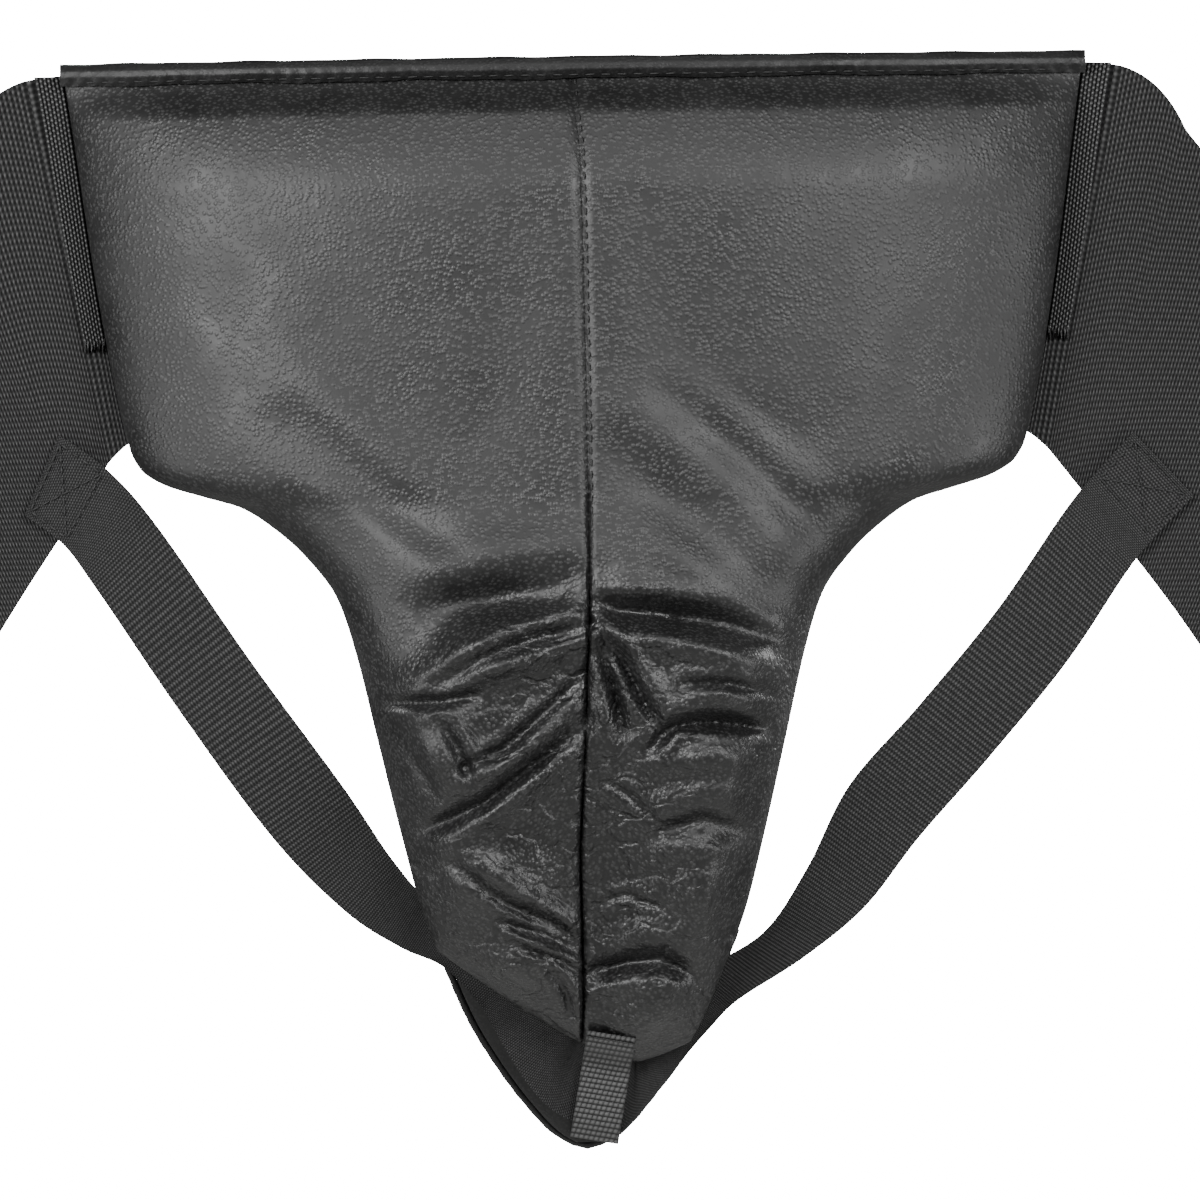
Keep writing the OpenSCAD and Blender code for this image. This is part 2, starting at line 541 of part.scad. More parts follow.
// ---- the closure ----
// Local axes at the end of a wing: x along the wing, z across it from its lower edge, -y outside.
module at_wing_end(side, d0) {
    e = low_edge(d0, wing_steps);
    reach = (e.x - side_x) / cos(sweep_deg);
    mirror([side < 0 ? 1 : 0, 0, 0]) translate([side_x, side_y, 0]) rotate([0, 0, sweep_deg])
        translate([reach, 0, e.y]) rotate([0, end_droop, 0]) children();
}
module plate(points, y0, y1)
    translate([0, y1, 0]) rotate([90, 0, 0]) linear_extrude(y1 - y0) polygon(points);
// A rectangle in x and z with rounded corners at its far end.
function tab_outline(x0, x1, z0, z1, r) = concat([[x0, z1], [x0, z0]],
    [for (a = [-90:15:0]) [x1 - r + r * cos(a), z0 + r + r * sin(a)]],
    [for (a = [0:15:90]) [x1 - r + r * cos(a), z1 - r + r * sin(a)]]);
tab_t = 2.2;
tab_gap = 2.4;
tab_in = 8;
module closure_tab() color(leather) at_wing_end(-1, left_droop)
    plate(tab_outline(tab_gap, tab_len, tab_in, wing_w - tab_in, 14), -tab_t / 2, tab_t / 2);
module hook_patch() color("#101010") at_wing_end(-1, left_droop)
    plate(tab_outline(tab_gap + 7, tab_len - 4, tab_in + 4, wing_w - tab_in - 4, 11),
          tab_t / 2 + 0.1, tab_t / 2 + 0.1 + patch_t);
// Stitches along a line in the plane of the wing's end.
module stitch_line(p, q, y) {
    n = floor(norm(q - p) / 4.6);
    for (i = [0:n - 1]) {
        c = mix(p, q, (i + 0.5) / n);
        stitch([c[0], y, c[1]], atan2(q[1] - p[1], q[0] - p[0]));
    }
}
module closure_stitches() color("#3a3a3a") at_wing_end(-1, left_droop) {
    y = -tab_t / 2 - thread_d / 2 - 0.2;
    stitch_line([tab_gap + 3, tab_in + 4], [tab_gap + 3, wing_w - tab_in - 4], y);
    stitch_line([tab_gap + 8, tab_in + 3], [tab_len - 16, tab_in + 3], y);
    stitch_line([tab_gap + 8, wing_w - tab_in - 3], [tab_len - 16, wing_w - tab_in - 3], y);
    stitch_line([tab_len - 5, tab_in + 16], [tab_len - 5, wing_w - tab_in - 16], y);
}
loop_in = 9;
module loop_patch() color("#161616") at_wing_end(1, right_droop)
    plate([[-loop_len - 8, loop_in + 3], [-8, loop_in], [-8, wing_w - loop_in], [-loop_len - 8, wing_w - loop_in + 3]],
          -wing_t / 2 - gap - patch_t, -wing_t / 2 - gap);
// Overcast stitches that run round the patch, down on the elastic.
module loop_stitches() color("#3a3a3a") at_wing_end(1, right_droop) {
    y = -wing_t / 2 - thread_d / 2 - 0.1;
    o = thread_d / 2 + 0.4;
    a = [-loop_len - 8 - o, loop_in + 3 - o];
    b = [-8 + o, loop_in - o];
    c = [-8 + o, wing_w - loop_in + o];
    d = [-loop_len - 8 - o, wing_w - loop_in + 3 + o];
    stitch_line(a, b, y);
    stitch_line(b, c, y);
    stitch_line(c, d, y);
    stitch_line(d, a, y);
}
// Leather folded over the cut end of the right wing.
module right_end_binding() color(leather) at_wing_end(1, right_droop) {
    out = wing_t / 2 + gap + leather_t;
    in = wing_t / 2 + gap;
    linear_extrude(wing_w)
        polygon([[-6, -out], [gap + leather_t, -out], [gap + leather_t, out], [-6, out],
                 [-6, in], [gap, in], [gap, -in], [-6, -in]]);
}

front_cover_left();
front_cover_right();
front_seam_stitches();
top_binding();
binding_stitches();
abdominal_foam();
firm_foam_board();
groin_foam();
cup_shell();
cup_rim_cushion();
back_lining();
piping_left();
piping_right();
crotch_flap();
flap_edging();
strap_keeper();
keeper_stitches();
leg_strap_middle();
left_wing();
right_wing();
left_seam_tape();
right_seam_tape();
left_leg_strap();
right_leg_strap();
left_strap_stitches();
right_strap_stitches();
closure_tab();
hook_patch();
closure_stitches();
loop_patch();
loop_stitches();
right_end_binding();
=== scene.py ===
# %% [markdown]
# # A groin protector
# A padded leather shield hangs from two elastic wings that close round the waist. An elastic leg
# strap runs from wing to wing through a webbing keeper at the tip. The frame brings the hard
# sizes and the moving bodies; these cells give every piece the shape and finish of the real one.

import bpy
import math
import numpy as np
from mathutils import Matrix, Vector


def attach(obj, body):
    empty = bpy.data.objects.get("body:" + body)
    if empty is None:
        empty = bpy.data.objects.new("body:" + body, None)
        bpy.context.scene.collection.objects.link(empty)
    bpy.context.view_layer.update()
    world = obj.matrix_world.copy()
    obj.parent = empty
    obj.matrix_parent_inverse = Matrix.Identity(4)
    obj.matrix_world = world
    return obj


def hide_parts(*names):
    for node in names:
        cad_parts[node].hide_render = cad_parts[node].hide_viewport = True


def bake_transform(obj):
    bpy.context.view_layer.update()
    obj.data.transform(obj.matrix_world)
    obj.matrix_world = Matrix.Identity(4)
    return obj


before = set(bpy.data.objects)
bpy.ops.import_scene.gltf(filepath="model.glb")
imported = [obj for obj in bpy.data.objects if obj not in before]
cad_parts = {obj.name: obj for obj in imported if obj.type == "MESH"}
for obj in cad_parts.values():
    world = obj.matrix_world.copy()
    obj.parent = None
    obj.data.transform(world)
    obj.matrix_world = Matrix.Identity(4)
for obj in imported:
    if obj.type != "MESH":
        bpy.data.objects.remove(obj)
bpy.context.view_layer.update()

# %% [markdown]
# ## Sizes
# Everything below is worked out in millimetres, from the same few sizes as the hard parts, and
# turned to metres when a piece is made. Half the shield's width is a smooth curve through a few
# places down its height, so the hips and the tip stay rounded at any zoom.

# %% Sizes of the shield
PAD_H = 311.0
HALF_W = 146.0
PAD_T = 31.0
GROIN_T = 39.0
EDGE_T = 7.0
WRAP_BACK = 22.0
TUCK_BACK = 50.0
LEATHER_T = 1.2
LINING_T = 0.9
FLAP_T = 4.5
STRAP_T = 1.4
STRAP_W = 25.0
WING_T = 1.8
WING_W = 88.0
SLIT_ROOM = STRAP_T + 0.9
SLIT_FULL = FLAP_T + SLIT_ROOM


def smooth(t):
    """0 to 1 in an easy curve."""
    t = np.clip(t, 0.0, 1.0)
    return t * t * (3 - 2 * t)


def curve(knots):
    """A smooth function through (position, value) knots that never overshoots them."""
    k = np.array(knots, float)
    x, y = k[:, 0], k[:, 1]
    step = np.diff(x)
    slope = np.diff(y) / step
    lean = np.zeros(len(x))
    same = slope[1:] * slope[:-1] > 0
    both = slope[1:] + slope[:-1]
    both[~same] = 1.0
    lean[1:-1] = np.where(same, 2 * slope[1:] * slope[:-1] / both, 0.0)
    lean[0], lean[-1] = slope[0], slope[-1]

    def at(t):
        t = np.clip(t, x[0], x[-1])
        i = np.clip(np.searchsorted(x, t) - 1, 0, len(step) - 1)
        s = (t - x[i]) / step[i]
        rise = y[i] * (1 + 2 * s) * (1 - s) ** 2 + y[i + 1] * s * s * (3 - 2 * s)
        return rise + step[i] * (lean[i] * s * (1 - s) ** 2 + lean[i + 1] * s * s * (s - 1))

    return at


outline = curve([(0, 100), (35, 87.7), (37, 85.5), (38.4, 81), (39.6, 73), (40.6, 66), (42.4, 60),
                 (45, 53.8), (49, 47.5), (54, 44), (62, 40), (71, 35.5), (78, 31.6), (83, 27.5),
                 (88, 23), (92.5, 17.3), (96, 11.8), (98.6, 6.6), (100, 1.5)])
pad_thick = curve([(0, EDGE_T + 1), (0.016, EDGE_T + 2.5), (0.05, 0.72 * PAD_T), (0.12, 0.95 * PAD_T),
                   (0.25, PAD_T), (0.40, 1.04 * PAD_T), (0.47, 1.2 * PAD_T), (0.54, GROIN_T), (0.60, 0.98 * GROIN_T),
                   (0.66, 0.89 * GROIN_T), (0.72, 0.79 * GROIN_T), (0.78, 0.7 * GROIN_T), (0.84, 0.61 * GROIN_T),
                   (0.92, 0.5 * GROIN_T)])
trough_deep = curve([(0.49, 0), (0.53, 4), (0.57, 5.6), (0.63, 5.8), (0.68, 6.5), (0.73, 8), (0.79, 8), (0.85, 5),
                     (0.9, 1), (0.92, 0)])


def half_at(z):
    return HALF_W / 100 * outline(-z / PAD_H * 100)


def back_y(x, z):
    tuck = np.maximum(0, -z / PAD_H - 0.48) / 0.52
    return WRAP_BACK * (x / HALF_W) ** 2 + TUCK_BACK * tuck**2


def front_end(x):
    return -0.92 * PAD_H + 0.14 * np.abs(x - 15.0) ** 1.35


def end_z(s):
    """Where the padded front ends below, for a share of the half width from -1 to 1."""
    low = front_end(s * half_at(-0.87 * PAD_H + 0 * s))
    return front_end(s * half_at(front_end(s * half_at(low))))


def slit_z(x):
    return -0.785 * PAD_H - np.where(x < 0, 0.36, 0.1) * x


def slit(x, z):
    return SLIT_FULL * smooth((slit_z(x) - z) / 5)


def thick(x, z):
    """Padding from the wearer's side to the face of the leather."""
    f = -z / PAD_H
    trough = trough_deep(f) * np.exp(-(((x - 3) / 15) ** 2))
    edge = np.maximum(EDGE_T, slit(x, z) + 4.2)
    u = np.minimum(1, np.abs(x) / half_at(z))
    near = np.clip((z - front_end(x)) / 14, 0, 1)
    roll = np.sqrt(1 - (1 - near) ** 2)
    return edge + np.maximum(0, pad_thick(f) - edge - trough) * np.sqrt(np.maximum(0, 1 - u**5)) * roll


# %% [markdown]
# ## Making a piece from a sheet
# Leather, elastic and webbing all start flat, so nearly every piece here starts as a flat grid
# whose points are laid where the cloth goes. Its flat coordinates are kept, in millimetres, as
# the piece's UV map: the weave then follows the cloth round every curve.


# %% Helpers that make pieces
def deselect():
    if bpy.context.object and bpy.context.object.mode != "OBJECT":
        bpy.ops.object.mode_set(mode="OBJECT")
    bpy.ops.object.select_all(action="DESELECT")


def points_of(piece):
    co = np.empty(len(piece.data.vertices) * 3)
    piece.data.vertices.foreach_get("co", co)
    return co.reshape(-1, 3)


def move_points(piece, mm):
    piece.data.vertices.foreach_set("co", (np.asarray(mm) / 1000).ravel())
    piece.data.update()


def apply(piece, kind, **settings):
    """Add a modifier, set it and apply it."""
    deselect()
    piece.select_set(True)
    bpy.context.view_layer.objects.active = piece
    modifier = piece.modifiers.new(kind.title(), kind)
    for key, value in settings.items():
        setattr(modifier, key, value)
    bpy.ops.object.modifier_apply(modifier=modifier.name)
    return piece


def set_uv(piece, a, b):
    """Write a UV map, in millimetres of cloth, from one value at each point."""
    loops = np.empty(len(piece.data.loops), np.int32)
    piece.data.loops.foreach_get("vertex_index", loops)
    layer = piece.data.uv_layers[0] if piece.data.uv_layers else piece.data.uv_layers.new(name="cloth")
    layer.data.foreach_set("uv", np.column_stack([a[loops], b[loops]]).astype(np.float32).ravel())


def sheet_piece(name, columns, rows, front, back=None, thickness=None, cloth=(1.0, 1.0)):
    """A closed sheet: front(u, v) and back(u, v) give its two faces in mm, u to the right and v upward."""
    deselect()
    bpy.ops.mesh.primitive_grid_add(x_subdivisions=columns, y_subdivisions=rows, size=1)
    piece = bpy.context.object
    piece.name = piece.data.name = name
    flat = points_of(piece)
    u, v = flat[:, 0] + 0.5, flat[:, 1] + 0.5
    set_uv(piece, u * cloth[0], v * cloth[1])
    face = np.column_stack(front(u, v))
    move_points(piece, face)
    apply(piece, "SOLIDIFY", thickness=(thickness or 1.0) / 1000, offset=-1, use_even_offset=False)
    if back:
        move_points(piece, np.vstack([face, np.column_stack(back(u, v))]))
    deselect()
    piece.select_set(True)
    bpy.context.view_layer.objects.active = piece
    bpy.ops.object.shade_smooth_by_angle(angle=math.radians(50))
    return piece


def set_rib(piece, stand):
    """Keep how far the weft stands up at each point of the front face, 0 to 1; the back face has none."""
    rib = piece.data.attributes.new("rib", "FLOAT", "POINT")
    values = np.full(len(piece.data.vertices), 0.2, np.float32)
    values[:len(stand)] = stand
    rib.data.foreach_set("value", values)


def grid_uv(columns, rows):
    """The u and v of a grid's points, in the order in which the grid makes them."""
    v, u = np.mgrid[0:rows + 1, 0:columns + 1]
    return u.ravel() / columns, v.ravel() / rows


def tube_piece(name, path, radius):
    """A round cord along a path of points in mm."""
    deselect()
    line = bpy.data.curves.new(name, "CURVE")
    line.dimensions = "3D"
    spline = line.splines.new("POLY")
    spline.points.add(len(path) - 1)
    radii = np.broadcast_to(radius, len(path))
    for point, at, r in zip(spline.points, path, radii):
        point.co = (*(np.array(at) / 1000), 1)
        point.radius = r / radii.max()
    line.bevel_depth = float(radii.max()) / 1000
    line.bevel_resolution = 3
    line.use_fill_caps = True
    piece = bpy.data.objects.new(name, line)
    bpy.context.collection.objects.link(piece)
    piece.select_set(True)
    bpy.context.view_layer.objects.active = piece
    bpy.ops.object.convert(target="MESH")
    piece = bpy.context.object
    bpy.ops.object.mode_set(mode="EDIT")
    bpy.ops.mesh.select_all(action="SELECT")
    bpy.ops.mesh.remove_doubles(threshold=1e-6)
    bpy.ops.mesh.normals_make_consistent(inside=False)
    bpy.ops.object.mode_set(mode="OBJECT")
    bpy.ops.object.shade_smooth_by_angle(angle=math.radians(50))
    return piece


def sew(name, places, length=3.0, width=0.8):
    """Stitches, each a small lozenge of thread; places are (point, direction) in mm."""
    deselect()
    bpy.ops.mesh.primitive_uv_sphere_add(segments=8, ring_count=6, radius=0.5)
    one = bpy.context.object
    shape = points_of(one)
    faces = [tuple(f.vertices) for f in one.data.polygons]
    bpy.data.objects.remove(one)
    points, polygons = [], []
    for at, along in places:
        along = np.array(along, float)
        along /= np.linalg.norm(along)
        side = np.cross(along, (0, 1, 0.02))
        side /= np.linalg.norm(side)
        out = np.cross(side, along)
        first = len(points) * len(shape)
        # The ends of a stitch dive into the cloth, so its middle stands proudest.
        bow = (1 - (2 * shape[:, 2]) ** 2)[:, None] * 0.25 * width * np.sign(-out[1])
        points.append(np.array(at) + shape[:, 2:3] * length * along + shape[:, :1] * width * side
                      + (shape[:, 1:2] * width + bow) * out)
        polygons += [tuple(first + i for i in f) for f in faces]
    mesh = bpy.data.meshes.new(name)
    mesh.from_pydata((np.vstack(points) / 1000).tolist(), [], polygons)
    piece = bpy.data.objects.new(name, mesh)
    bpy.context.collection.objects.link(piece)
    piece.select_set(True)
    bpy.context.view_layer.objects.active = piece
    bpy.ops.object.mode_set(mode="EDIT")
    bpy.ops.mesh.select_all(action="SELECT")
    bpy.ops.mesh.normals_make_consistent(inside=False)
    bpy.ops.object.mode_set(mode="OBJECT")
    bpy.ops.object.shade_smooth()
    return piece


def done(piece, body, material, *nodes, slot=None):
    """Hand a finished piece its material, its body and the frame's nodes that it stands for."""
    piece.data.materials.clear()
    piece.data.materials.append(material)
    if body:
        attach(piece, body)
    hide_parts(*nodes)
    print(piece.name, len(piece.data.polygons), "faces")
    return piece


# %% [markdown]
# ## Finishes
# Each finish starts from what the real thing is. The hide is a corrected split leather with a
# pebble grain rolled into it and a thin gloss finish; the elastics are knitted over rubber, so
# they are dull with rows of small loops, their tops painted lighter as a painted highlight; the
# webbing is polypropylene, with a soft shine on each rib that is partly real and partly a painted
# highlight on its crest.


# %% Helpers for materials
def linear(hex_colour):
    """An sRGB hex colour as the linear colour that shaders use."""
    parts = [int(hex_colour[i:i + 2], 16) / 255 for i in (1, 3, 5)]
    return tuple(c / 12.92 if c <= 0.04045 else ((c + 0.055) / 1.055) ** 2.4 for c in parts) + (1.0,)


def add(material, kind, settings=None, **inputs):
    """Add one node. Settings are its own; inputs are values or sockets, named, or _0, _1 by number."""
    node = material.node_tree.nodes.new("ShaderNode" + kind)
    for key, value in (settings or {}).items():
        setattr(node, key, value)
    for key, value in inputs.items():
        socket = node.inputs[int(key[1:])] if key[0] == "_" else node.inputs[key.replace("_", " ")]
        if isinstance(value, bpy.types.NodeSocket):
            material.node_tree.links.new(value, socket)
        else:
            socket.default_value = value
    return node


def new_material(name, colour, **surface):
    """A material with a principled shader, its colour and its plain values set on its own sockets."""
    material = bpy.data.materials.new(name)
    material.use_nodes = True
    shader = material.node_tree.nodes["Principled BSDF"]
    shader.inputs["Base Color"].default_value = linear(colour)
    for key, value in surface.items():
        shader.inputs[key.replace("_", " ")].default_value = value
    return material, shader


def link(material, start, end):
    material.node_tree.links.new(start, end)


# %% Pebble-grained leather
def grained_leather(name, colour, light, grain_mm=1.25, depth_mm=0.18, gloss=0.52, level=0.5, crinkle_mm=0.0):
    """Rolled pebble grain: rounded cells with fine creases between them, under a thin gloss finish."""
    m, shader = new_material(name, colour, Roughness=gloss, Specular_IOR_Level=level, Coat_Weight=0.05,
                             Coat_Roughness=0.35)
    where = add(m, "TexCoord").outputs["Object"]
    warp = add(m, "TexNoise", Vector=where, Scale=500 / grain_mm, Detail=2.0).outputs["Color"]
    bent = add(m, "VectorMath", {"operation": "MULTIPLY_ADD"}, _0=warp, _1=(0.0005, 0.0005, 0.0005), _2=where)
    cells = add(m, "TexVoronoi", {"feature": "SMOOTH_F1"}, Vector=bent.outputs[0], Scale=1000 / grain_mm,
                Smoothness=0.25)
    domes = add(m, "MapRange", {"interpolation_type": "SMOOTHSTEP"}, Value=cells.outputs["Distance"],
                From_Min=0.62, From_Max=0.08)
    hide = add(m, "TexNoise", Vector=where, Scale=60.0, Detail=3.0, Roughness=0.55).outputs["Fac"]
    both = add(m, "Math", {"operation": "MULTIPLY_ADD"}, _0=hide, _1=2.5, _2=domes.outputs["Result"])
    bump = add(m, "Bump", Height=both.outputs[0], Distance=depth_mm / 1000, Strength=0.8)
    if crinkle_mm:
        # Below the waist the finish has cracked into a net of fine wrinkles, widest near the seam.
        place = add(m, "SeparateXYZ", Vector=where)
        low = add(m, "MapRange", {"interpolation_type": "SMOOTHSTEP"}, Value=place.outputs["Z"], From_Min=-0.135,
                  From_Max=-0.17)
        middle = add(m, "MapRange", {"interpolation_type": "SMOOTHSTEP"},
                     Value=add(m, "Math", {"operation": "ABSOLUTE"}, _0=place.outputs["X"]).outputs[0],
                     From_Min=0.055, From_Max=0.01, To_Min=0.25)
        drift = add(m, "TexNoise", Vector=where, Scale=70.0, Detail=3.0).outputs["Color"]
        lean = add(m, "VectorMath", {"operation": "MULTIPLY_ADD"}, _0=drift, _1=(0.022, 0.022, 0.022), _2=where)
        net = add(m, "TexVoronoi", {"feature": "DISTANCE_TO_EDGE"}, Scale=1000 / crinkle_mm,
                  Vector=add(m, "Mapping", Vector=lean.outputs[0], Rotation=(0, 0.5, 0),
                             Scale=(0.55, 0.5, 1)).outputs[0])
        lines = add(m, "MapRange", {"interpolation_type": "SMOOTHERSTEP"}, Value=net.outputs["Distance"],
                    From_Min=0.0, From_Max=0.22)
        share = add(m, "Math", {"operation": "MULTIPLY"}, _0=low.outputs["Result"], _1=middle.outputs["Result"])
        wrinkles = add(m, "Math", {"operation": "MULTIPLY"}, _0=lines.outputs["Result"], _1=share.outputs[0])
        bump = add(m, "Bump", Height=wrinkles.outputs[0], Distance=0.0006, Strength=0.7, Normal=bump.outputs["Normal"])
        polish = share.outputs[0]
    link(m, bump.outputs["Normal"], shader.inputs["Normal"])
    tone = add(m, "Math", {"operation": "MULTIPLY_ADD", "use_clamp": True}, _0=domes.outputs["Result"], _1=0.75,
               _2=add(m, "Math", {"operation": "MULTIPLY"}, _0=hide, _1=0.25).outputs[0])
    mix = add(m, "Mix", {"data_type": "RGBA"}, _0=tone.outputs[0], _6=linear(colour), _7=linear(light))
    link(m, mix.outputs[2], shader.inputs["Base Color"])
    rough = add(m, "MapRange", Value=hide, From_Min=0.3, From_Max=0.7, To_Min=gloss - 0.07,
                To_Max=gloss + 0.07)
    shine = rough.outputs["Result"]
    if crinkle_mm:
        # Rubbing has polished the hide there, so it is darker and its wrinkles glint.
        shine = add(m, "Math", {"operation": "MULTIPLY_ADD"}, _0=polish, _1=-0.1, _2=shine).outputs[0]
    link(m, shine, shader.inputs["Roughness"])
    return m


leather = grained_leather("pebble_grained_leather", "#0b0b0b", "#313131", crinkle_mm=8.0)
smooth_leather = grained_leather("plain_black_leather", "#0e0e0e", "#1c1c1c", grain_mm=1.0,
                                depth_mm=0.06, gloss=0.5, level=0.35)


# %% Elastic, webbing, thread and lining
def knitted(name, colour, light, row_mm, dot_mm, depth_mm, share=0.6, roughness=0.8):
    """Rows of small loops: a wave along the cloth times a wave across it, in millimetres of cloth."""
    m, shader = new_material(name, colour, Roughness=roughness, Specular_IOR_Level=0.2, Sheen_Weight=0.02,
                             Sheen_Roughness=0.5)
    where = add(m, "UVMap").outputs["UV"]
    parts = add(m, "SeparateXYZ", Vector=where)
    across, along = parts.outputs["X"], parts.outputs["Y"]
    rows = add(m, "Math", {"operation": "SINE"}, _0=add(m, "Math", {"operation": "MULTIPLY"}, _0=along,
                                                     _1=2 * math.pi / row_mm).outputs[0])
    half = add(m, "Math", {"operation": "FLOOR"}, _0=add(m, "Math", {"operation": "DIVIDE"}, _0=along,
                                                       _1=row_mm).outputs[0])
    shifted = add(m, "Math", {"operation": "MULTIPLY_ADD"}, _0=half.outputs[0], _1=dot_mm / 2, _2=across)
    dots = add(m, "Math", {"operation": "SINE"}, _0=add(m, "Math", {"operation": "MULTIPLY"}, _0=shifted.outputs[0],
                                                     _1=2 * math.pi / dot_mm).outputs[0])
    loops = add(m, "Math", {"operation": "MULTIPLY_ADD"}, _0=dots.outputs[0], _1=share, _2=rows.outputs[0])
    height = add(m, "MapRange", Value=loops.outputs[0], From_Min=-1 - share, From_Max=1 + share)
    slub = add(m, "TexNoise", Vector=where, Scale=0.6, Detail=3.0)
    bump = add(m, "Bump", Height=height.outputs["Result"], Distance=depth_mm / 1000, Strength=0.8)
    link(m, bump.outputs["Normal"], shader.inputs["Normal"])
    # The tops of the loops are painted lighter than the hollows between them: a painted highlight on each loop, varied
    # at random by the slub.
    painted_loop_highlight = add(m, "Math", {"operation": "POWER"}, _0=height.outputs["Result"], _1=2.2)
    tone = add(m, "Math", {"operation": "MULTIPLY", "use_clamp": True}, _0=painted_loop_highlight.outputs[0],
               _1=add(m, "MapRange", Value=slub.outputs["Fac"], From_Min=0.3, From_Max=0.7, To_Min=0.65,
                      To_Max=1.1).outputs["Result"])
    mix = add(m, "Mix", {"data_type": "RGBA"}, _0=tone.outputs[0], _6=linear(colour), _7=linear(light))
    link(m, mix.outputs[2], shader.inputs["Base Color"])
    return m


wing_elastic = knitted("wide_knitted_elastic", "#030303", "#4e4e4e", 1.25, 1.5, 0.45)
strap_elastic = knitted("narrow_woven_elastic", "#0b0b0b", "#4a4a4a", 0.9, 0.9, 0.2, share=0.9)


def ribbed(name, colour, light):
    """Webbing whose ribs are real: the piece's own rib attribute says where its weft stands up."""
    m, shader = new_material(name, colour, Roughness=0.5, Specular_IOR_Level=0.4)
    stand = add(m, "Attribute", {"attribute_name": "rib"}).outputs["Fac"]
    fibre = add(m, "TexNoise", Vector=add(m, "TexCoord").outputs["Object"], Scale=3500.0, Detail=2.0)
    bump = add(m, "Bump", Height=fibre.outputs["Fac"], Distance=0.00012, Strength=0.5)
    link(m, bump.outputs["Normal"], shader.inputs["Normal"])
    # Where the weft stands up the colour is painted lighter: a painted highlight on each rib and knot.
    mix = add(m, "Mix", {"data_type": "RGBA"}, _0=add(m, "Math", {"operation": "POWER"}, _0=stand, _1=1.6).outputs[0],
              _6=linear(colour), _7=linear(light))
    link(m, mix.outputs[2], shader.inputs["Base Color"])
    return m


webbing = ribbed("ribbed_webbing", "#080808", "#5c5c5c")
lining_cloth = knitted("brushed_lining", "#101010", "#343434", 1.1, 1.1, 0.14, roughness=0.9)
thread, thread_shader = new_material("bonded_black_thread", "#242424", Roughness=0.6, Specular_IOR_Level=0.4)
twist = add(thread, "TexWave", {"bands_direction": "DIAGONAL"}, Vector=add(thread, "TexCoord").outputs["Object"],
            Scale=700.0)
link(thread, add(thread, "Bump", Height=twist.outputs["Fac"], Distance=0.0001, Strength=0.6).outputs["Normal"],
     thread_shader.inputs["Normal"])

# %% Foam, cup and fastener
foam_look, foam_shader = new_material("closed_cell_foam", "#8a8f96", Roughness=0.9)
dense_look, dense_shader = new_material("dense_foam", "#5c6168", Roughness=0.9)
for look, shader in ((foam_look, foam_shader), (dense_look, dense_shader)):
    cell = add(look, "TexVoronoi", Vector=add(look, "TexCoord").outputs["Object"], Scale=1400.0)
    dent = add(look, "Bump", Height=cell.outputs["Distance"], Distance=0.0003, Strength=0.5)
    link(look, dent.outputs["Normal"], shader.inputs["Normal"])
cup_look, cup_shader = new_material("moulded_cup_plastic", "#d9dad6", Roughness=0.35)
flow = add(cup_look, "TexNoise", Vector=add(cup_look, "TexCoord").outputs["Object"], Scale=60.0)
link(cup_look, add(cup_look, "Bump", Height=flow.outputs["Fac"], Distance=0.0002, Strength=0.3).outputs["Normal"],
     cup_shader.inputs["Normal"])


def pile(name, colour, light, spacing_mm, depth_mm):
    """A bed of small hooks or loops, standing at the spacing of the real fastener tape."""
    m, shader = new_material(name, colour, Roughness=0.8, Sheen_Weight=0.2, Sheen_Roughness=0.4)
    where = add(m, "TexCoord").outputs["Object"]
    tufts = add(m, "TexVoronoi", Vector=where, Scale=1000 / spacing_mm)
    fuzz = add(m, "TexNoise", Vector=where, Scale=2500.0, Detail=3.0)
    top = add(m, "MapRange", {"interpolation_type": "SMOOTHSTEP"}, Value=tufts.outputs["Distance"], From_Min=0.6,
              From_Max=0.1)
    both = add(m, "Math", {"operation": "MULTIPLY_ADD"}, _0=fuzz.outputs["Fac"], _1=0.5, _2=top.outputs["Result"])
    bump = add(m, "Bump", Height=both.outputs[0], Distance=depth_mm / 1000, Strength=0.9)
    link(m, bump.outputs["Normal"], shader.inputs["Normal"])
    mix = add(m, "Mix", {"data_type": "RGBA"}, _0=top.outputs["Result"], _6=linear(colour), _7=linear(light))
    link(m, mix.outputs[2], shader.inputs["Base Color"])
    return m


hook_look = pile("hook_tape", "#0a0a0a", "#303030", 1.5, 0.5)
loop_look = pile("loop_tape", "#0c0c0c", "#262626", 1.1, 0.7)

# %% [markdown]
# ## The leather front
# Two leather panels meet in a seam down the middle. Below the waist the hide is pulled over the
# cup, and the slack runs away from the seam in folds. The folds are laid one by one as strokes, each a
# ridge or a crease with its own path, width and height, because they are what makes the shield
# look worn in.

# %% The seam's path and the folds
seam_x = curve([(0, -0.9), (0.05, 0.7), (0.09, 1.9), (0.22, 2.5), (0.35, 2.8), (0.46, 2.85), (0.59, 1.5),
                (0.68, -0.1), (0.73, -0.9), (0.83, -0.7), (1, -1.6)])
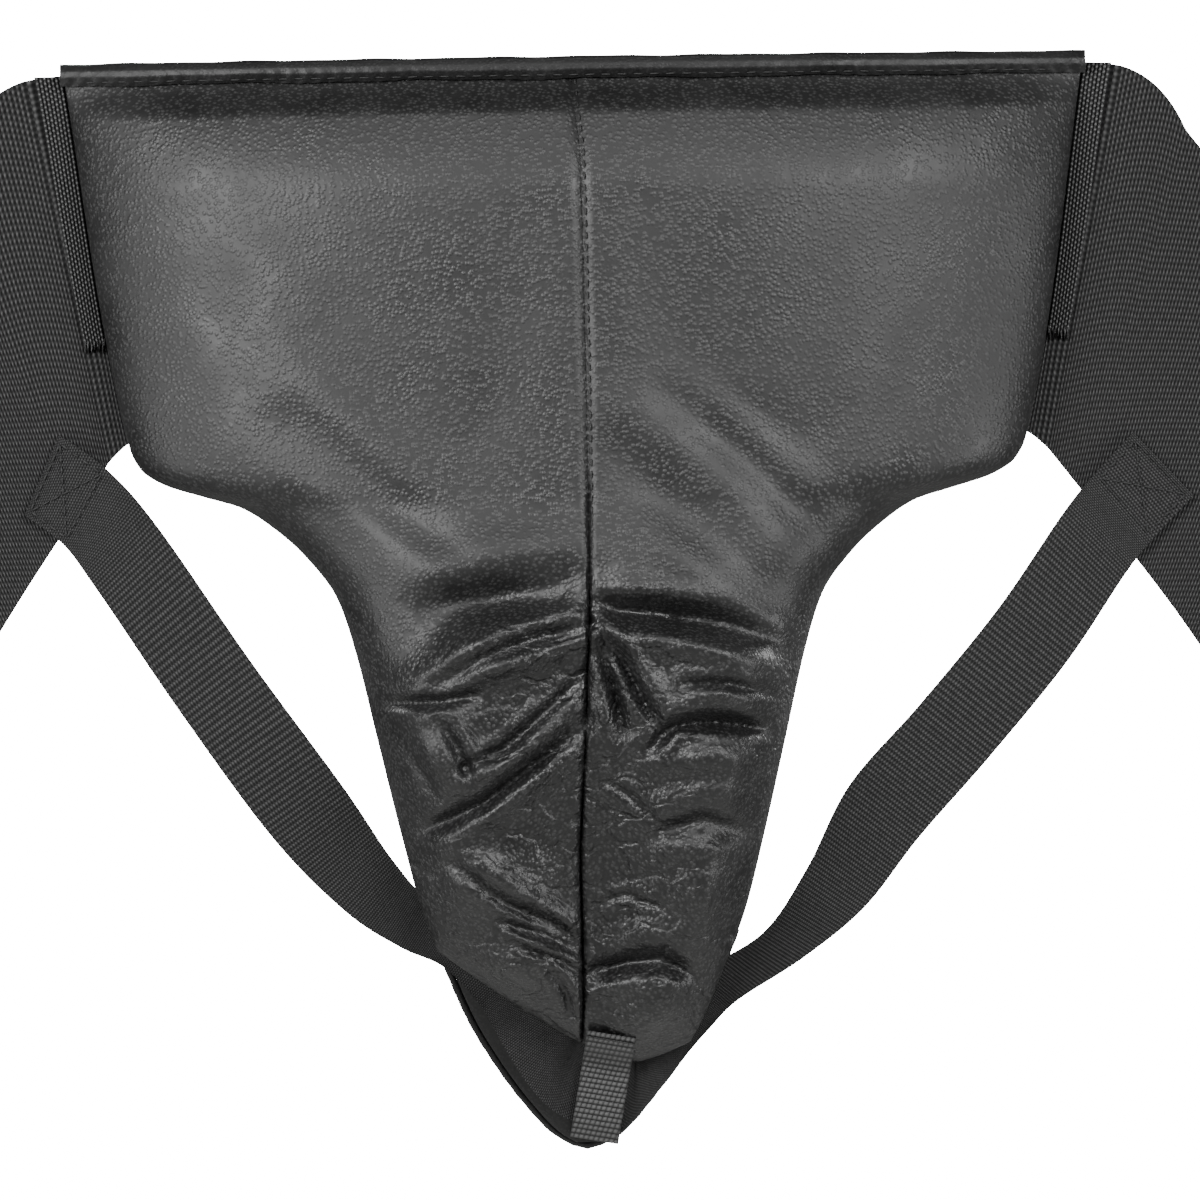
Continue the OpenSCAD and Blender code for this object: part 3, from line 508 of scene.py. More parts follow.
# Each fold: height in mm (a crease is below zero), half width in mm, then its path in x and z.
FOLDS = [
    # the ledge under the waist, left and right of the seam
    (-3.4, 6.5, [(3, -148), (-16, -150), (-34, -155), (-46, -163)]),
    (4.0, 5.5, [(3, -157), (-14, -159), (-30, -165), (-44, -173)]),
    (3.2, 4.6, [(2, -165), (-18, -171), (-38, -176), (-58, -178)]),
    (-3.0, 2.4, [(2, -161), (-14, -165), (-30, -171), (-42, -178)]),
    (-2.8, 1.7, [(-64, -179.5), (-57, -182.4), (-40, -182.4), (-30, -180)]),
    (2.2, 3.3, [(-60, -186), (-46, -187), (-30, -186)]),
    (2.5, 3.7, [(-46, -190), (-41, -198), (-36, -206)]),
    (-2.0, 2.2, [(-52, -193), (-47, -200), (-42, -209)]),
    (1.4, 2.6, [(-36, -188), (-31, -196), (-27, -205)]),
    (-1.9, 1.8, [(-40, -187), (-35, -196), (-31, -206)]),
    (-3.0, 2.0, [(-54, -220), (-45, -219), (-28, -211), (-12, -199), (2, -188)]),
    (3.0, 3.7, [(-50, -226), (-36, -222), (-18, -210), (0, -196)]),
    (2.5, 2.9, [(-40, -208), (-24, -202), (-8, -190), (2, -180)]),
    (-2.0, 1.7, [(-36, -202), (-22, -196), (-9, -184), (2, -174)]),
    (2.8, 3.3, [(-32, -226), (-18, -236), (-8, -243), (-1, -248)]),
    (-2.2, 1.8, [(-38, -228), (-22, -240), (-10, -246), (-1, -252)]),
    (-1.9, 1.4, [(-24, -245), (-12, -249), (-1, -255)]),
    (1.9, 1.8, [(-22, -249), (-12, -252), (-1, -258)]),
    (-1.3, 1.1, [(-18, -253), (-8, -256), (0, -261)]),
    (2.0, 1.8, [(-8, -257), (-2, -266), (-1, -277)]),
    (-1.2, 1.2, [(-11, -258), (-5, -267), (-4, -277)]),
    (-4.2, 3.3, [(4, -156), (22, -158), (40, -162), (54, -166), (62, -172)]),
    (3.5, 4.8, [(5, -162), (22, -165), (40, -169), (54, -174)]),
    (-3.0, 1.8, [(4, -160), (11, -170), (17, -181), (23, -193)]),
    (2.5, 2.9, [(7, -160), (16, -170), (22, -180), (28, -189)]),
    (-2.8, 1.7, [(5, -166), (9, -178), (12, -192)]),
    (2.2, 2.6, [(5, -173), (6, -186), (8, -200)]),
    (-3.2, 1.8, [(20, -196), (26, -190), (36, -188.5), (46, -190), (60, -194)]),
    (3.0, 4.0, [(24, -201), (38, -198), (56, -200)]),
    (2.5, 2.9, [(26, -184), (38, -182), (54, -186)]),
    (-2.2, 1.5, [(30, -178), (42, -178), (58, -182)]),
    (-2.5, 1.9, [(24, -219), (34, -216.5), (48, -219.5)]),
    (2.2, 3.3, [(22, -225), (34, -223), (46, -226)]),
    (2.0, 2.9, [(22, -212), (34, -209), (50, -211)]),
    (-1.3, 1.3, [(6, -205), (14, -210), (22, -219)]),
    (-3.2, 2.2, [(3, -260), (12, -257), (22, -256), (31, -262)]),
    (2.8, 3.5, [(4, -266), (14, -263), (26, -263)]),
    (2.0, 3.3, [(6, -250), (18, -248), (32, -250)]),
    (-1.2, 1.2, [(4, -240), (12, -238), (22, -242)]),
    # long soft drags that run down from the waist
    (1.1, 8.0, [(8, -97), (51, -131), (66, -147)]),
    (-0.9, 6.0, [(12, -112), (40, -138), (54, -152)]),
    (0.9, 5.0, [(10, -128), (34, -146), (52, -158)]),
    (-0.8, 4.0, [(26, -96), (54, -120), (72, -140)]),
    (1.0, 8.0, [(-84, -88), (-54, -112), (-25, -140)]),
    (-0.8, 6.0, [(-80, -104), (-50, -128), (-28, -146)]),
    (0.8, 5.0, [(-70, -124), (-46, -140), (-28, -152)]),
]


# Each lobe of padding between the folds: height, centre in x and z, half width and half height, in mm.
LOBES = [
    (3.4, -26, -170, 13, 6), (6.0, -42, -199, 16, 15), (6.0, -31, -234, 15, 12), (6.0, -18, -258, 13, 8),
    (5.4, 44, -176, 17, 10), (6.4, 42, -205, 13, 11), (7.0, 36, -238, 11, 15), (6.0, 21, -270, 13, 8),
    (-4.4, -20, -154, 24, 5), (-4.4, 28, -159, 24, 5), (-4.0, -52, -216, 12, 3), (-4.0, 44, -190, 16, 3),
    (-4.0, 38, -221, 14, 3), (-3.0, 16, -259, 13, 3),
]


def lobes(x, z):
    return sum(h * np.exp(-(((x - cx) / rx) ** 2) - ((z - cz) / rz) ** 2) for h, cx, cz, rx, rz in LOBES)


def along_fold(path, x, z):
    """Distance from a fold's path, and how far along it (0 to 1) the nearest point lies."""
    best = np.full(x.shape, 1e9)
    place = np.zeros(x.shape)
    pts = np.array(path, float)
    spans = np.linalg.norm(np.diff(pts, axis=0), axis=1)
    total = spans.sum()
    run = 0.0
    for a, b, span in zip(pts, pts[1:], spans):
        t = np.clip(((x - a[0]) * (b[0] - a[0]) + (z - a[1]) * (b[1] - a[1])) / span**2, 0, 1)
        d = np.hypot(x - a[0] - t * (b[0] - a[0]), z - a[1] - t * (b[1] - a[1]))
        near = d < best
        best = np.where(near, d, best)
        place = np.where(near, (run + t * span) / total, place)
        run += span
    return best, place


def folds(x, z):
    total = np.zeros(x.shape)
    for height, width, path in FOLDS:
        d, t = along_fold(path, x, z)
        fade = np.sin(np.pi * np.clip(0.12 + 0.82 * t, 0, 1)) ** 0.7
        shape = np.exp(-((d / width) ** 2))
        if height < 0:
            # Slack that a crease takes in stands up beside it.
            shape = shape - 0.45 * np.exp(-(((d - 1.9 * width) / (1.1 * width)) ** 2))
        total += height * fade * shape
    return total


# %% Room for the cup
CUP_W, CUP_H, CUP_DEPTH, CUP_Z, CUP_EGG = 62.0, 88.0, 24.0, -0.585 * PAD_H, 0.25


def cup_r(x, z):
    q = (z - CUP_Z) / (CUP_H / 2)
    return np.hypot(x / (CUP_W / 2 * (1 + CUP_EGG * np.clip(q, -1.4, 1.4))), q)


def hollow(x, z):
    return CUP_DEPTH * np.maximum(0, 1 - cup_r(x, z) ** 2.6)


def cup_front(x, z):
    """The front of the cup, its flange and its cushion."""
    shell = np.where(cup_r(x, z) < 1.4, hollow(x, z) + 3.4, 0.0)
    return back_y(x, z) - slit(x, z) - LINING_T - 0.8 - shell


# %% The two halves of the front
def leather_y(x, z, side):
    """The face of the leather: padding, folds, and the dip where the two halves are sewn together."""
    dx = np.abs(x - seam_x(-z / PAD_H))
    low = smooth((-z - 130) / 60)
    groove = (1.3 + 1.2 * low) * np.exp(-((dx / 0.6) ** 2)) - (0.15 + 0.5 * low) * np.exp(-(((dx - 2.6) / 1.8) ** 2))
    flat_edge = smooth((half_at(z) - np.abs(x)) / 14) * smooth((z - front_end(x)) / 8)
    y = back_y(x, z) - thick(x, z) - (folds(x, z) + lobes(x, z)) * flat_edge + groove
    # However deep a fold runs, the leather stays in front of the cup.
    spare = cup_front(x, z) - 2.6 - y
    return y + spare - 0.5 * (spare + np.sqrt(spare**2 + 1.5))


def cover_face(side, slack=None):
    """One leather panel, from the centre seam round the rolled edge to the lining."""
    turn = 0.9  # the share of the panel that lies on the front; the rest turns round the edge
    fine = curve([(0, 0), (0.05, 0.04), (0.4, 0.52), (1, 1)])  # more rows where the folds are

    def face(u, v, inward=0.0):
        q = u if side > 0 else 1 - u
        out = np.sin(np.pi / 2 * np.clip(q / turn, 0, 1))
        down = np.clip((1 - v) / 0.96, 0, 1)
        z = fine(down) * end_z(side * out)
        x0 = seam_x(-z / PAD_H)
        x = x0 + out * (side * half_at(z) - x0)
        y = leather_y(x, z, side)
        # Past the edge the leather turns back to the lining, round a small radius.
        round_edge = smooth((q - turn) / (1 - turn))
        under = smooth((0.04 - v) / 0.04)
        behind = back_y(x, z) - slit(x, z) - 1.2
        y = y + (behind - y) * np.maximum(round_edge, under)
        x = x - side * 0.8 * np.sin(np.pi / 2 * round_edge)
        z = z + 1.0 * under
        if slack is not None:
            dx, dy, dz = slack(u, v)
            x, y, z = x + dx, np.minimum(y + dy, np.maximum(y, cup_front(x, z) - 2.0)), z + dz
        return x, y + inward, z

    return face


# %% Let the hide settle
SETTLE_COLUMNS, SETTLE_ROWS, SETTLE_FRAMES, SETTLE_CAP = 56, 150, 14, 3.0


def settle(side):
    """Blow the panel up a little as cloth, with slack below the waist, and keep how each point moved."""
    deselect()
    bpy.ops.mesh.primitive_grid_add(x_subdivisions=SETTLE_COLUMNS, y_subdivisions=SETTLE_ROWS, size=1)
    piece = bpy.context.object
    flat = points_of(piece)
    u, v = flat[:, 0] + 0.5, flat[:, 1] + 0.5
    start = np.column_stack(cover_face(side)(u, v))
    move_points(piece, start)
    q = u if side > 0 else 1 - u
    held = piece.vertex_groups.new(name="held")
    loose = piece.vertex_groups.new(name="loose")
    fixed = (q < 0.012) | (q > 0.86) | (v > 0.965) | (v < 0.07)
    give = smooth((-start[:, 2] - 140) / 25) * smooth((start[:, 2] + 285) / 20)
    for i in range(len(u)):
        held.add([i], 1.0 if fixed[i] else 0.0, "REPLACE")
        loose.add([i], float(give[i]), "REPLACE")
    cloth = piece.modifiers.new("Cloth", "CLOTH")
    rules = cloth.settings
    rules.quality = 6
    rules.mass = 0.15
    rules.tension_stiffness = rules.compression_stiffness = 25
    rules.shear_stiffness = 12
    rules.bending_stiffness = 0.35
    rules.effector_weights.gravity = 0
    rules.use_pressure = True
    rules.uniform_pressure_force = -0.6
    rules.vertex_group_mass = "held"
    rules.vertex_group_shrink = "loose"
    rules.shrink_min, rules.shrink_max = 0.0, -0.07
    cloth.collision_settings.use_collision = False
    scene = bpy.context.scene
    for step in range(1, SETTLE_FRAMES + 1):
        scene.frame_set(step)
    seen = piece.evaluated_get(bpy.context.evaluated_depsgraph_get())
    end = np.empty(len(u) * 3)
    seen.data.vertices.foreach_get("co", end)
    moved = end.reshape(-1, 3) * 1000 - start
    far = np.linalg.norm(moved, axis=1)
    moved *= (np.minimum(far, SETTLE_CAP) / np.maximum(far, 1e-6) * smooth((q - 0.01) / 0.12))[:, None]
    print("leather settled by up to", round(float(far.max()), 2), "mm, mean", round(float(far.mean()), 3))
    scene.frame_set(1)
    bpy.data.objects.remove(piece)
    order = np.lexsort((u.round(5), v.round(5)))
    table = moved[order].reshape(SETTLE_ROWS + 1, SETTLE_COLUMNS + 1, 3)

    def slack(u, v):
        """The movement at any place, blended smoothly between the simulated points."""
        a, b = u * SETTLE_COLUMNS, v * SETTLE_ROWS
        i, j = np.clip(a.astype(int), 0, SETTLE_COLUMNS - 1), np.clip(b.astype(int), 0, SETTLE_ROWS - 1)
        s, t = (smooth(a - i) + a - i)[:, None] / 2, (smooth(b - j) + b - j)[:, None] / 2
        both = (table[j, i] * (1 - s) + table[j, i + 1] * s) * (1 - t)
        both += (table[j + 1, i] * (1 - s) + table[j + 1, i + 1] * s) * t
        return both[:, 0], both[:, 1], both[:, 2]

    return slack


def cover(side):
    slack = settle(side)
    face = cover_face(side, slack)
    name = "leather_front_right" if side > 0 else "leather_front_left"
    return sheet_piece(name, 118, 380, face, lambda u, v: face(u, v, LEATHER_T), cloth=(HALF_W, 286))


for side, tag in ((-1, "left"), (1, "right")):
    half = cover(side)
    done(half, "shield", leather, f"front_cover_{tag}")

# %% [markdown]
# ## Foam, lining and cup
# The padding is soft foam in front of a firm board, with a thicker foam over the cup. It only shows
# if the guard is taken apart, so it follows the leather's own surface, a little way in. The lining
# covers the whole back and dips into the cup's hollow.

# %% Foam behind the leather
BOARD_T = 6.0
FOAM_INSET = 12.0
FOAM_GAP = 3.6


def foam_slab(name, top, bottom, face, rear):
    """A foam sheet across the pad between two heights; face and rear give y from x and z."""
    def place(y_of):
        def at(u, v):
            z = bottom + (top - bottom) * v
            x = np.sin(np.pi / 2 * (2 * u - 1)) * (half_at(z) - FOAM_INSET)
            return x, y_of(x, z), z
        return at
    return sheet_piece(name, 60, 50, place(face), place(rear), cloth=(2 * HALF_W, top - bottom))


def board_front(x, z):
    room = thick(x, z) - LEATHER_T - LINING_T - 2.4
    return back_y(x, z) - LINING_T - 0.8 - np.minimum(BOARD_T, 0.5 * room)


upper_foam = foam_slab("upper_foam", -6.0, -0.345 * PAD_H,
                       lambda x, z: np.minimum(back_y(x, z) - thick(x, z) + FOAM_GAP, board_front(x, z) - 1.2),
                       lambda x, z: board_front(x, z) - 0.8)
done(upper_foam, "shield", foam_look, "abdominal_foam")



def groin_place(y_of):
    def at(u, v):
        z = -0.78 * PAD_H + (0.78 - 0.425) * PAD_H * v
        x = np.sin(np.pi / 2 * (2 * u - 1)) * np.minimum(half_at(z) - 8.0, 52.0)
        return x, y_of(x, z), z
    return at


groin_foam = sheet_piece("groin_foam_block", 70, 70,
                         groin_place(lambda x, z: np.minimum(np.maximum(back_y(x, z) - thick(x, z) + 6.5,
                                                                   np.maximum(leather_y(x, z, 1), leather_y(x, z, -1))
                                                                   + 4.0), cup_front(x, z) - 0.2)),
                         groin_place(cup_front), cloth=(100, 110))
done(groin_foam, "shield", foam_look, "groin_foam")


# %% The lining
def lining_face(offset, flip):
    def at(u, v):
        u = 1 - u if flip else u
        s = 2 * u - 1
        z = (1 - v) * end_z(np.sin(np.pi / 2 * s))
        x = np.sin(np.pi / 2 * s) * (half_at(z) - 0.4)
        return x, back_y(x, z) - hollow(x, z) - slit(x, z) + offset, z
    return at


lining = sheet_piece("back_lining_cloth", 150, 190, lining_face(0.0, True), lining_face(-LINING_T, True),
                     cloth=(2 * HALF_W, 286))
done(lining, "shield", lining_cloth, "back_lining")

for node, look in (("firm_foam_board", dense_look), ("cup_shell", cup_look), ("cup_rim_cushion", dense_look)):
    part = bpy.data.objects[node]
    part.data.materials.clear()
    part.data.materials.append(look)

# %% [markdown]
# ## The top binding
# A strip of the same leather is folded over the raw top edge and stitched through. The stitches
# pull it in at each hole, so its lower edge is a row of small puckers.

# %% Fold the binding over the edge
BINDING_H = 5.0
STITCH_STEP = 4.6


def binding_section(x, drop=0.0):
    """The outside of the fold in y and z, from its back edge over the top to its front edge."""
    f0 = back_y(x, 0 * x) - thick(x, 0 * x) - 0.4
    f1 = np.minimum(back_y(x, 0 * x - BINDING_H) - thick(x, 0 * x - BINDING_H), f0) - 0.6
    b = back_y(x, 0 * x) + 0.4
    return f0 - drop, f1 - drop, b + drop


def binding_at(inset):
    def at(u, v):
        x = (2 * u - 1) * (HALF_W + 0.6)
        xe = np.clip(x, -HALF_W, HALF_W)
        f0, f1, b = binding_section(xe)
        lt = 1.3 - inset
        pull = (0.5 + 0.5 * np.cos(2 * np.pi * x / STITCH_STEP)) * (0.45 + 0.35 * np.sin(x / 7.0) * np.sin(x / 19.0))
        wander = 0.35 * np.sin(x / 9.0) + 0.25 * np.sin(x / 3.7 + 1)
        low = -BINDING_H - 0.25 * pull + wander * 0.6
        puff = 0.5 + 0.35 * np.sin(x / 5.3) + 0.25 * np.sin(x / 2.9 + 2)
        stops = [(b + lt, low), (b + lt + 0.5, low * 0.55), (b + lt, 0.3 + 0 * x),
                 (b * 0.5 + f1 * 0.5, 1.3 - inset + 0.3 * puff), (f1 - lt + 1.0, 0.9 - inset + 0.3 * puff),
                 (f1 - lt - 0.3 - 0.3 * puff, -0.9 + 0 * x), (f1 - lt - 0.6 + 0.4 * pull - 0.3 * puff, low * 0.5),
                 (f1 - lt + 0.9 * pull - 0.1, low * 0.84), (f1 - lt + 0.5 + 0.3 * pull, low)]
        t = (1 - v) * (len(stops) - 1)
        i = np.clip(t.astype(int), 0, len(stops) - 2)
        w = t - i
        w = w * w * (3 - 2 * w) * 0.5 + w * 0.5
        ys = np.array([s[0] for s in stops])
        zs = np.array([s[1] for s in stops])
        k = np.arange(len(u))
        return x, ys[i, k] * (1 - w) + ys[i + 1, k] * w, zs[i, k] * (1 - w) + zs[i + 1, k] * w
    return at


binding = sheet_piece("folded_top_binding", 420, 28, binding_at(0.0), binding_at(1.1), cloth=(2 * HALF_W, 24))
done(binding, "shield", smooth_leather, "top_binding")


def binding_place(x):
    f0, f1, _ = binding_section(np.array([x]))
    return (x, float(f1[0]) - 1.45, -BINDING_H * 0.82)


count = int(2 * (HALF_W - 6) / STITCH_STEP)
holes = [(-HALF_W + 6 + STITCH_STEP * (i + 0.5)) for i in range(count)]
binding_sewing = sew("binding_sewing", [(binding_place(x), (1, 0.06 * math.sin(x), 0.05 * math.sin(3 * x)))
                                        for x in holes], length=2.8, width=0.5)
done(binding_sewing, "shield", thread, "binding_stitches")

# %% [markdown]
# ## The seam's top stitching
# Beside the upper part of the centre seam runs one row of stitches, sunk a little in the leather.

# %% Sew the centre seam
rows = []
for z in np.arange(-6.0, -0.45 * PAD_H, -3.4):
    at, low = np.array([z + 0.1, z - 0.1]), []
    x = seam_x(-at / PAD_H) + 0.9
    y = leather_y(x, at, 1)
    rows.append(((float(x[0]), float(y[0]) + 0.05, z), (float(x[0] - x[1]), float(y[0] - y[1]), 0.2)))
seam_sewing = sew("centre_seam_sewing", rows, length=2.3, width=0.55)
done(seam_sewing, "shield", thread, "front_seam_stitches")

# %% [markdown]
# ## Piped edges and the crotch flap
# Below the wings the edge is finished with a cord under a strip of leather. Below the slit the
# leather tongue goes on alone to the tip, with a thin welt round it.


# %% Pipe the edges
def edge_line(side, z, inset):
    """Points a little way inside the outline, measured square to it."""
    z = np.asarray(z, float)
    x = half_at(z)
    dx, dz = half_at(z - 1) - x, -1.0
    length = np.hypot(dx, dz)
    return side * (x + dz / length * inset), z - dx / length * inset


for side, tag in ((-1, "left"), (1, "right")):
    z = np.linspace(-0.362 * PAD_H, -0.835 * PAD_H if side < 0 else -0.86 * PAD_H, 150)
    x, zz = edge_line(side, z, 1.7)
    pucker = 1.5 + 0.10 * np.sin(z * 2 * np.pi / 5.0) + 0.06 * np.sin(z * 2.3)
    y = back_y(x, zz) - 3.3
    cord = tube_piece(f"piped_edge_{tag}", list(zip(x, y, zz)), pucker)
    done(cord, "shield", smooth_leather, f"piping_{tag}")


# %% The tongue and its welt
def tongue_face(back):
    def at(u, v):
        s = 2 * u - 1
        top, bottom = -0.785 * PAD_H - 5.0, -(PAD_H - 1.6)
        lie = np.sin(np.pi / 2 * s)
        z0 = top + (bottom - top) * (1 - v)
        z = z0 - 0.2 * lie * half_at(z0) * v
        x = lie * np.maximum(0.6, half_at(z) - 1.9)
        body = np.clip(slit(x, z) - SLIT_ROOM, 0.8, FLAP_T)
        # The edges of the stuffed tongue are thinner than its middle.
        body = body * (0.55 + 0.45 * np.sqrt(np.maximum(0, 1 - np.abs(s) ** 4)))
        ripple = 0.25 * np.sin(z / 3.1 + x / 6) * (1 - s * s)
        mid = back_y(x, z) - 0.5 * FLAP_T * smooth((slit(x, z)) / SLIT_FULL)
        return x, mid + (body / 2 if back else -body / 2 - ripple), z
    return at


tongue = sheet_piece("crotch_tongue", 50, 60, tongue_face(False), tongue_face(True), cloth=(80, 70))
done(tongue, "shield", smooth_leather, "crotch_flap")

down = np.linspace(-0.80 * PAD_H, -(PAD_H - 1.2), 60)
left_x, left_z = edge_line(-1, down, 0.7)
right_x, right_z = edge_line(1, down[::-1], 0.7)
welt_x, welt_z = np.concatenate([left_x, [0.0], right_x]), np.concatenate([left_z, [-PAD_H + 0.7], right_z])
welt = tube_piece("tongue_welt", list(zip(welt_x, back_y(welt_x, welt_z) - FLAP_T / 2, welt_z)),
                  1.15 + 0.06 * np.sin(np.arange(len(welt_x)) * 1.3))
done(welt, "shield", smooth_leather, "flap_edging")

# %% [markdown]
# ## The elastic wings
# Each wing is one length of wide knitted elastic, cut on a mitre and sewn along the whole side of
# the shield. Knitted rows run across it, and the sewing fans them a little at the seam.

# %% Where the wings lie
HINGE_OFF, EDGE_IN, ROOT_TOP, ROOT_LOW = 2.0, 3.4, 2.0, 0.345 * PAD_H
SWEEP, END_DROOP, WING_LEN, WING_STEPS = math.radians(7), 80.0, 208.0, 16
DROOP = {-1: 56.0, 1: 52.0}
SIDE_X = float(half_at(np.array([-ROOT_LOW]))[0]) + HINGE_OFF


def wing_y(x, z):
    zc = np.clip(z, -ROOT_LOW, -ROOT_TOP)
    return back_y(half_at(zc), zc) - EDGE_IN + math.tan(SWEEP) * (np.abs(x) - half_at(zc) - HINGE_OFF)


def wing_edges(droop):
    """The wing's lower and upper edges as functions of how far along it a point is, 0 to 1."""
    f = (np.arange(WING_STEPS * 8) + 0.5) / (WING_STEPS * 8)
    d = np.radians(droop + (END_DROOP - droop) * smooth((f - 0.15) / 0.85))
    step = WING_LEN / len(f)
    lx = np.concatenate([[SIDE_X], SIDE_X + np.cumsum(np.cos(d)) * step])
    lz = np.concatenate([[-ROOT_LOW], -ROOT_LOW - np.cumsum(np.sin(d)) * step])
    d0 = math.radians(droop)
    lead = 0.9 * ROOT_LOW * math.sin(math.radians(50))
    turn = -lead + 34

    def low(t):
        g = np.clip(t, 0, 1) * len(f)
        return np.interp(g, np.arange(len(lx)), lx), np.interp(g, np.arange(len(lz)), lz)

    def up(t):
        q = -lead + t * (WING_LEN + lead)
        k = np.clip((q + lead) / 34, 0, 1)
        ax, az = float(half_at(np.array([-ROOT_TOP]))[0]) + HINGE_OFF, -ROOT_TOP
        cx = SIDE_X + WING_W * math.sin(d0) + turn * math.cos(d0)
        cz = -ROOT_LOW + WING_W * math.cos(d0) - turn * math.sin(d0)
        bx = (1 - k) ** 2 * ax + 2 * k * (1 - k) * (ax + 19) + k * k * cx
        bz = (1 - k) ** 2 * az + 2 * k * (1 - k) * (az + 0.5) + k * k * cz
        sx = SIDE_X + WING_W * math.sin(d0) + q * math.cos(d0)
        sz = -ROOT_LOW + WING_W * math.cos(d0) - q * math.sin(d0)
        g = np.clip(q, 0, None) / WING_LEN
        ex, ez = low(g)
        dd = np.radians(droop + (END_DROOP - droop) * smooth((g - 0.15) / 0.85))
        ex, ez = ex + WING_W * np.sin(dd), ez + WING_W * np.cos(dd)
        x = np.where(q < turn, bx, np.where(q < 0, sx, ex))
        return x, np.where(q < turn, bz, np.where(q < 0, sz, ez))

    return low, up


def wing(side):
    low, up = wing_edges(DROOP[side])

    def face(offset):
        def at(u, v):
            t = u if side > 0 else 1 - u
            xl, zl = low(t)
            xu, zu = up(t)
            root = smooth(1 - t / 0.10)
            # The root is straight along the seam, and runs a little way under the leather.
            zr = -ROOT_LOW + (ROOT_LOW - ROOT_TOP) * v
            x = xl + (xu - xl) * v
            z = zl + (zu - zl) * v
            first = np.clip(1 - t / 0.03, 0, 1)
            x = x * (1 - first) + (half_at(zr) + HINGE_OFF) * first
            z = z * (1 - first) + zr * first
            x = x - 2.6 * first
            puckers = 0.5 * root * np.sin(z * 2 * np.pi / 7.5) + 0.35 * np.sin(x / 23 + z / 31)
            curl = 0.5 * smooth((v - 0.94) / 0.06) + 0.4 * smooth((0.05 - v) / 0.05)
            return side * x, wing_y(x, z) + puckers * 0.6 - curl + offset, z
        return at

    tag = "right" if side > 0 else "left"
    piece = sheet_piece(f"elastic_wing_{tag}", 220, 90, face(-WING_T / 2), face(WING_T / 2),
                        cloth=(WING_LEN + 60, WING_W))
    # The knitted rows run across the band, so the cloth's second direction follows its length.
    layer = piece.data.uv_layers[0].data
    uv = np.empty(len(layer) * 2, np.float32)
    layer.foreach_get("uv", uv)
    uv = uv.reshape(-1, 2)[:, ::-1].copy()
    layer.foreach_set("uv", uv.ravel())
    return piece


def turn_at_seam(piece):
    """Bake the piece's place into its points; the seam's heights and place are worked out but not used."""
    upper, lower = (half_at(np.array([z]))[0] for z in (-ROOT_TOP, -ROOT_LOW))
    z = -(ROOT_TOP + ROOT_LOW) / 2
    x = float(half_at(np.array([z]))[0]) + HINGE_OFF
    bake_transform(piece)


for side, tag in ((-1, "left"), (1, "right")):
    band = wing(side)
    done(band, None, wing_elastic, f"{tag}_wing")
    turn_at_seam(band)

# %% [markdown]
# ## The webbing over the wing seams
# A strip of ribbed webbing covers the seam. Its ribs are real ridges here: seven of them lengthwise,
# crossed by the weft, and its lower end is cut and left to fray.

# %% Ribbed strips
TAPE_W, TAPE_LEN = 7.0, 77.0


def tape_rib(u, v, side):
    q = u if side > 0 else 1 - u
    z = -ROOT_TOP - 0.2 - TAPE_LEN * (1 - v)
    rib = np.abs(np.sin(np.pi * 7 * q)) ** 0.8
    return rib * (0.5 + 0.5 * np.sin(2 * np.pi * z / 1.5 + np.pi * np.floor(7 * q)))


def tape(side):
    def face(u, v, lift):
        z = -ROOT_TOP - 0.2 - TAPE_LEN * (1 - v)
        w = TAPE_W * (0.72 + 0.28 * v)
        q = u if side > 0 else 1 - u
        x = half_at(z) + HINGE_OFF - 1.6 + q * (w + 1.0)
        rib = np.abs(np.sin(np.pi * 7 * q)) ** 0.8
        raise_ = 0.45 * rib + 0.35 * tape_rib(u, v, side)
        fray = smooth((0.02 - v) / 0.02) * 1.2 * (np.sin(37 * q) + np.sin(83 * q))
        y = wing_y(x, z) - WING_T / 2 - 0.25 - (1.0 + raise_ if lift else 0)
        return side * x, y, z + fray

    tag = "right" if side > 0 else "left"
    piece = sheet_piece(f"seam_webbing_{tag}", 84, 420, lambda u, v: face(u, v, True), lambda u, v: face(u, v, False),
                        cloth=(TAPE_W, TAPE_LEN))
    # The rib attribute also paints the ribs' crests lighter in the webbing's colour, a painted highlight.
    set_rib(piece, tape_rib(*grid_uv(84, 420), side))
    return piece


for side, tag in ((-1, "left"), (1, "right")):
    strip = tape(side)
    done(strip, None, webbing, f"{tag}_seam_tape")
    turn_at_seam(strip)
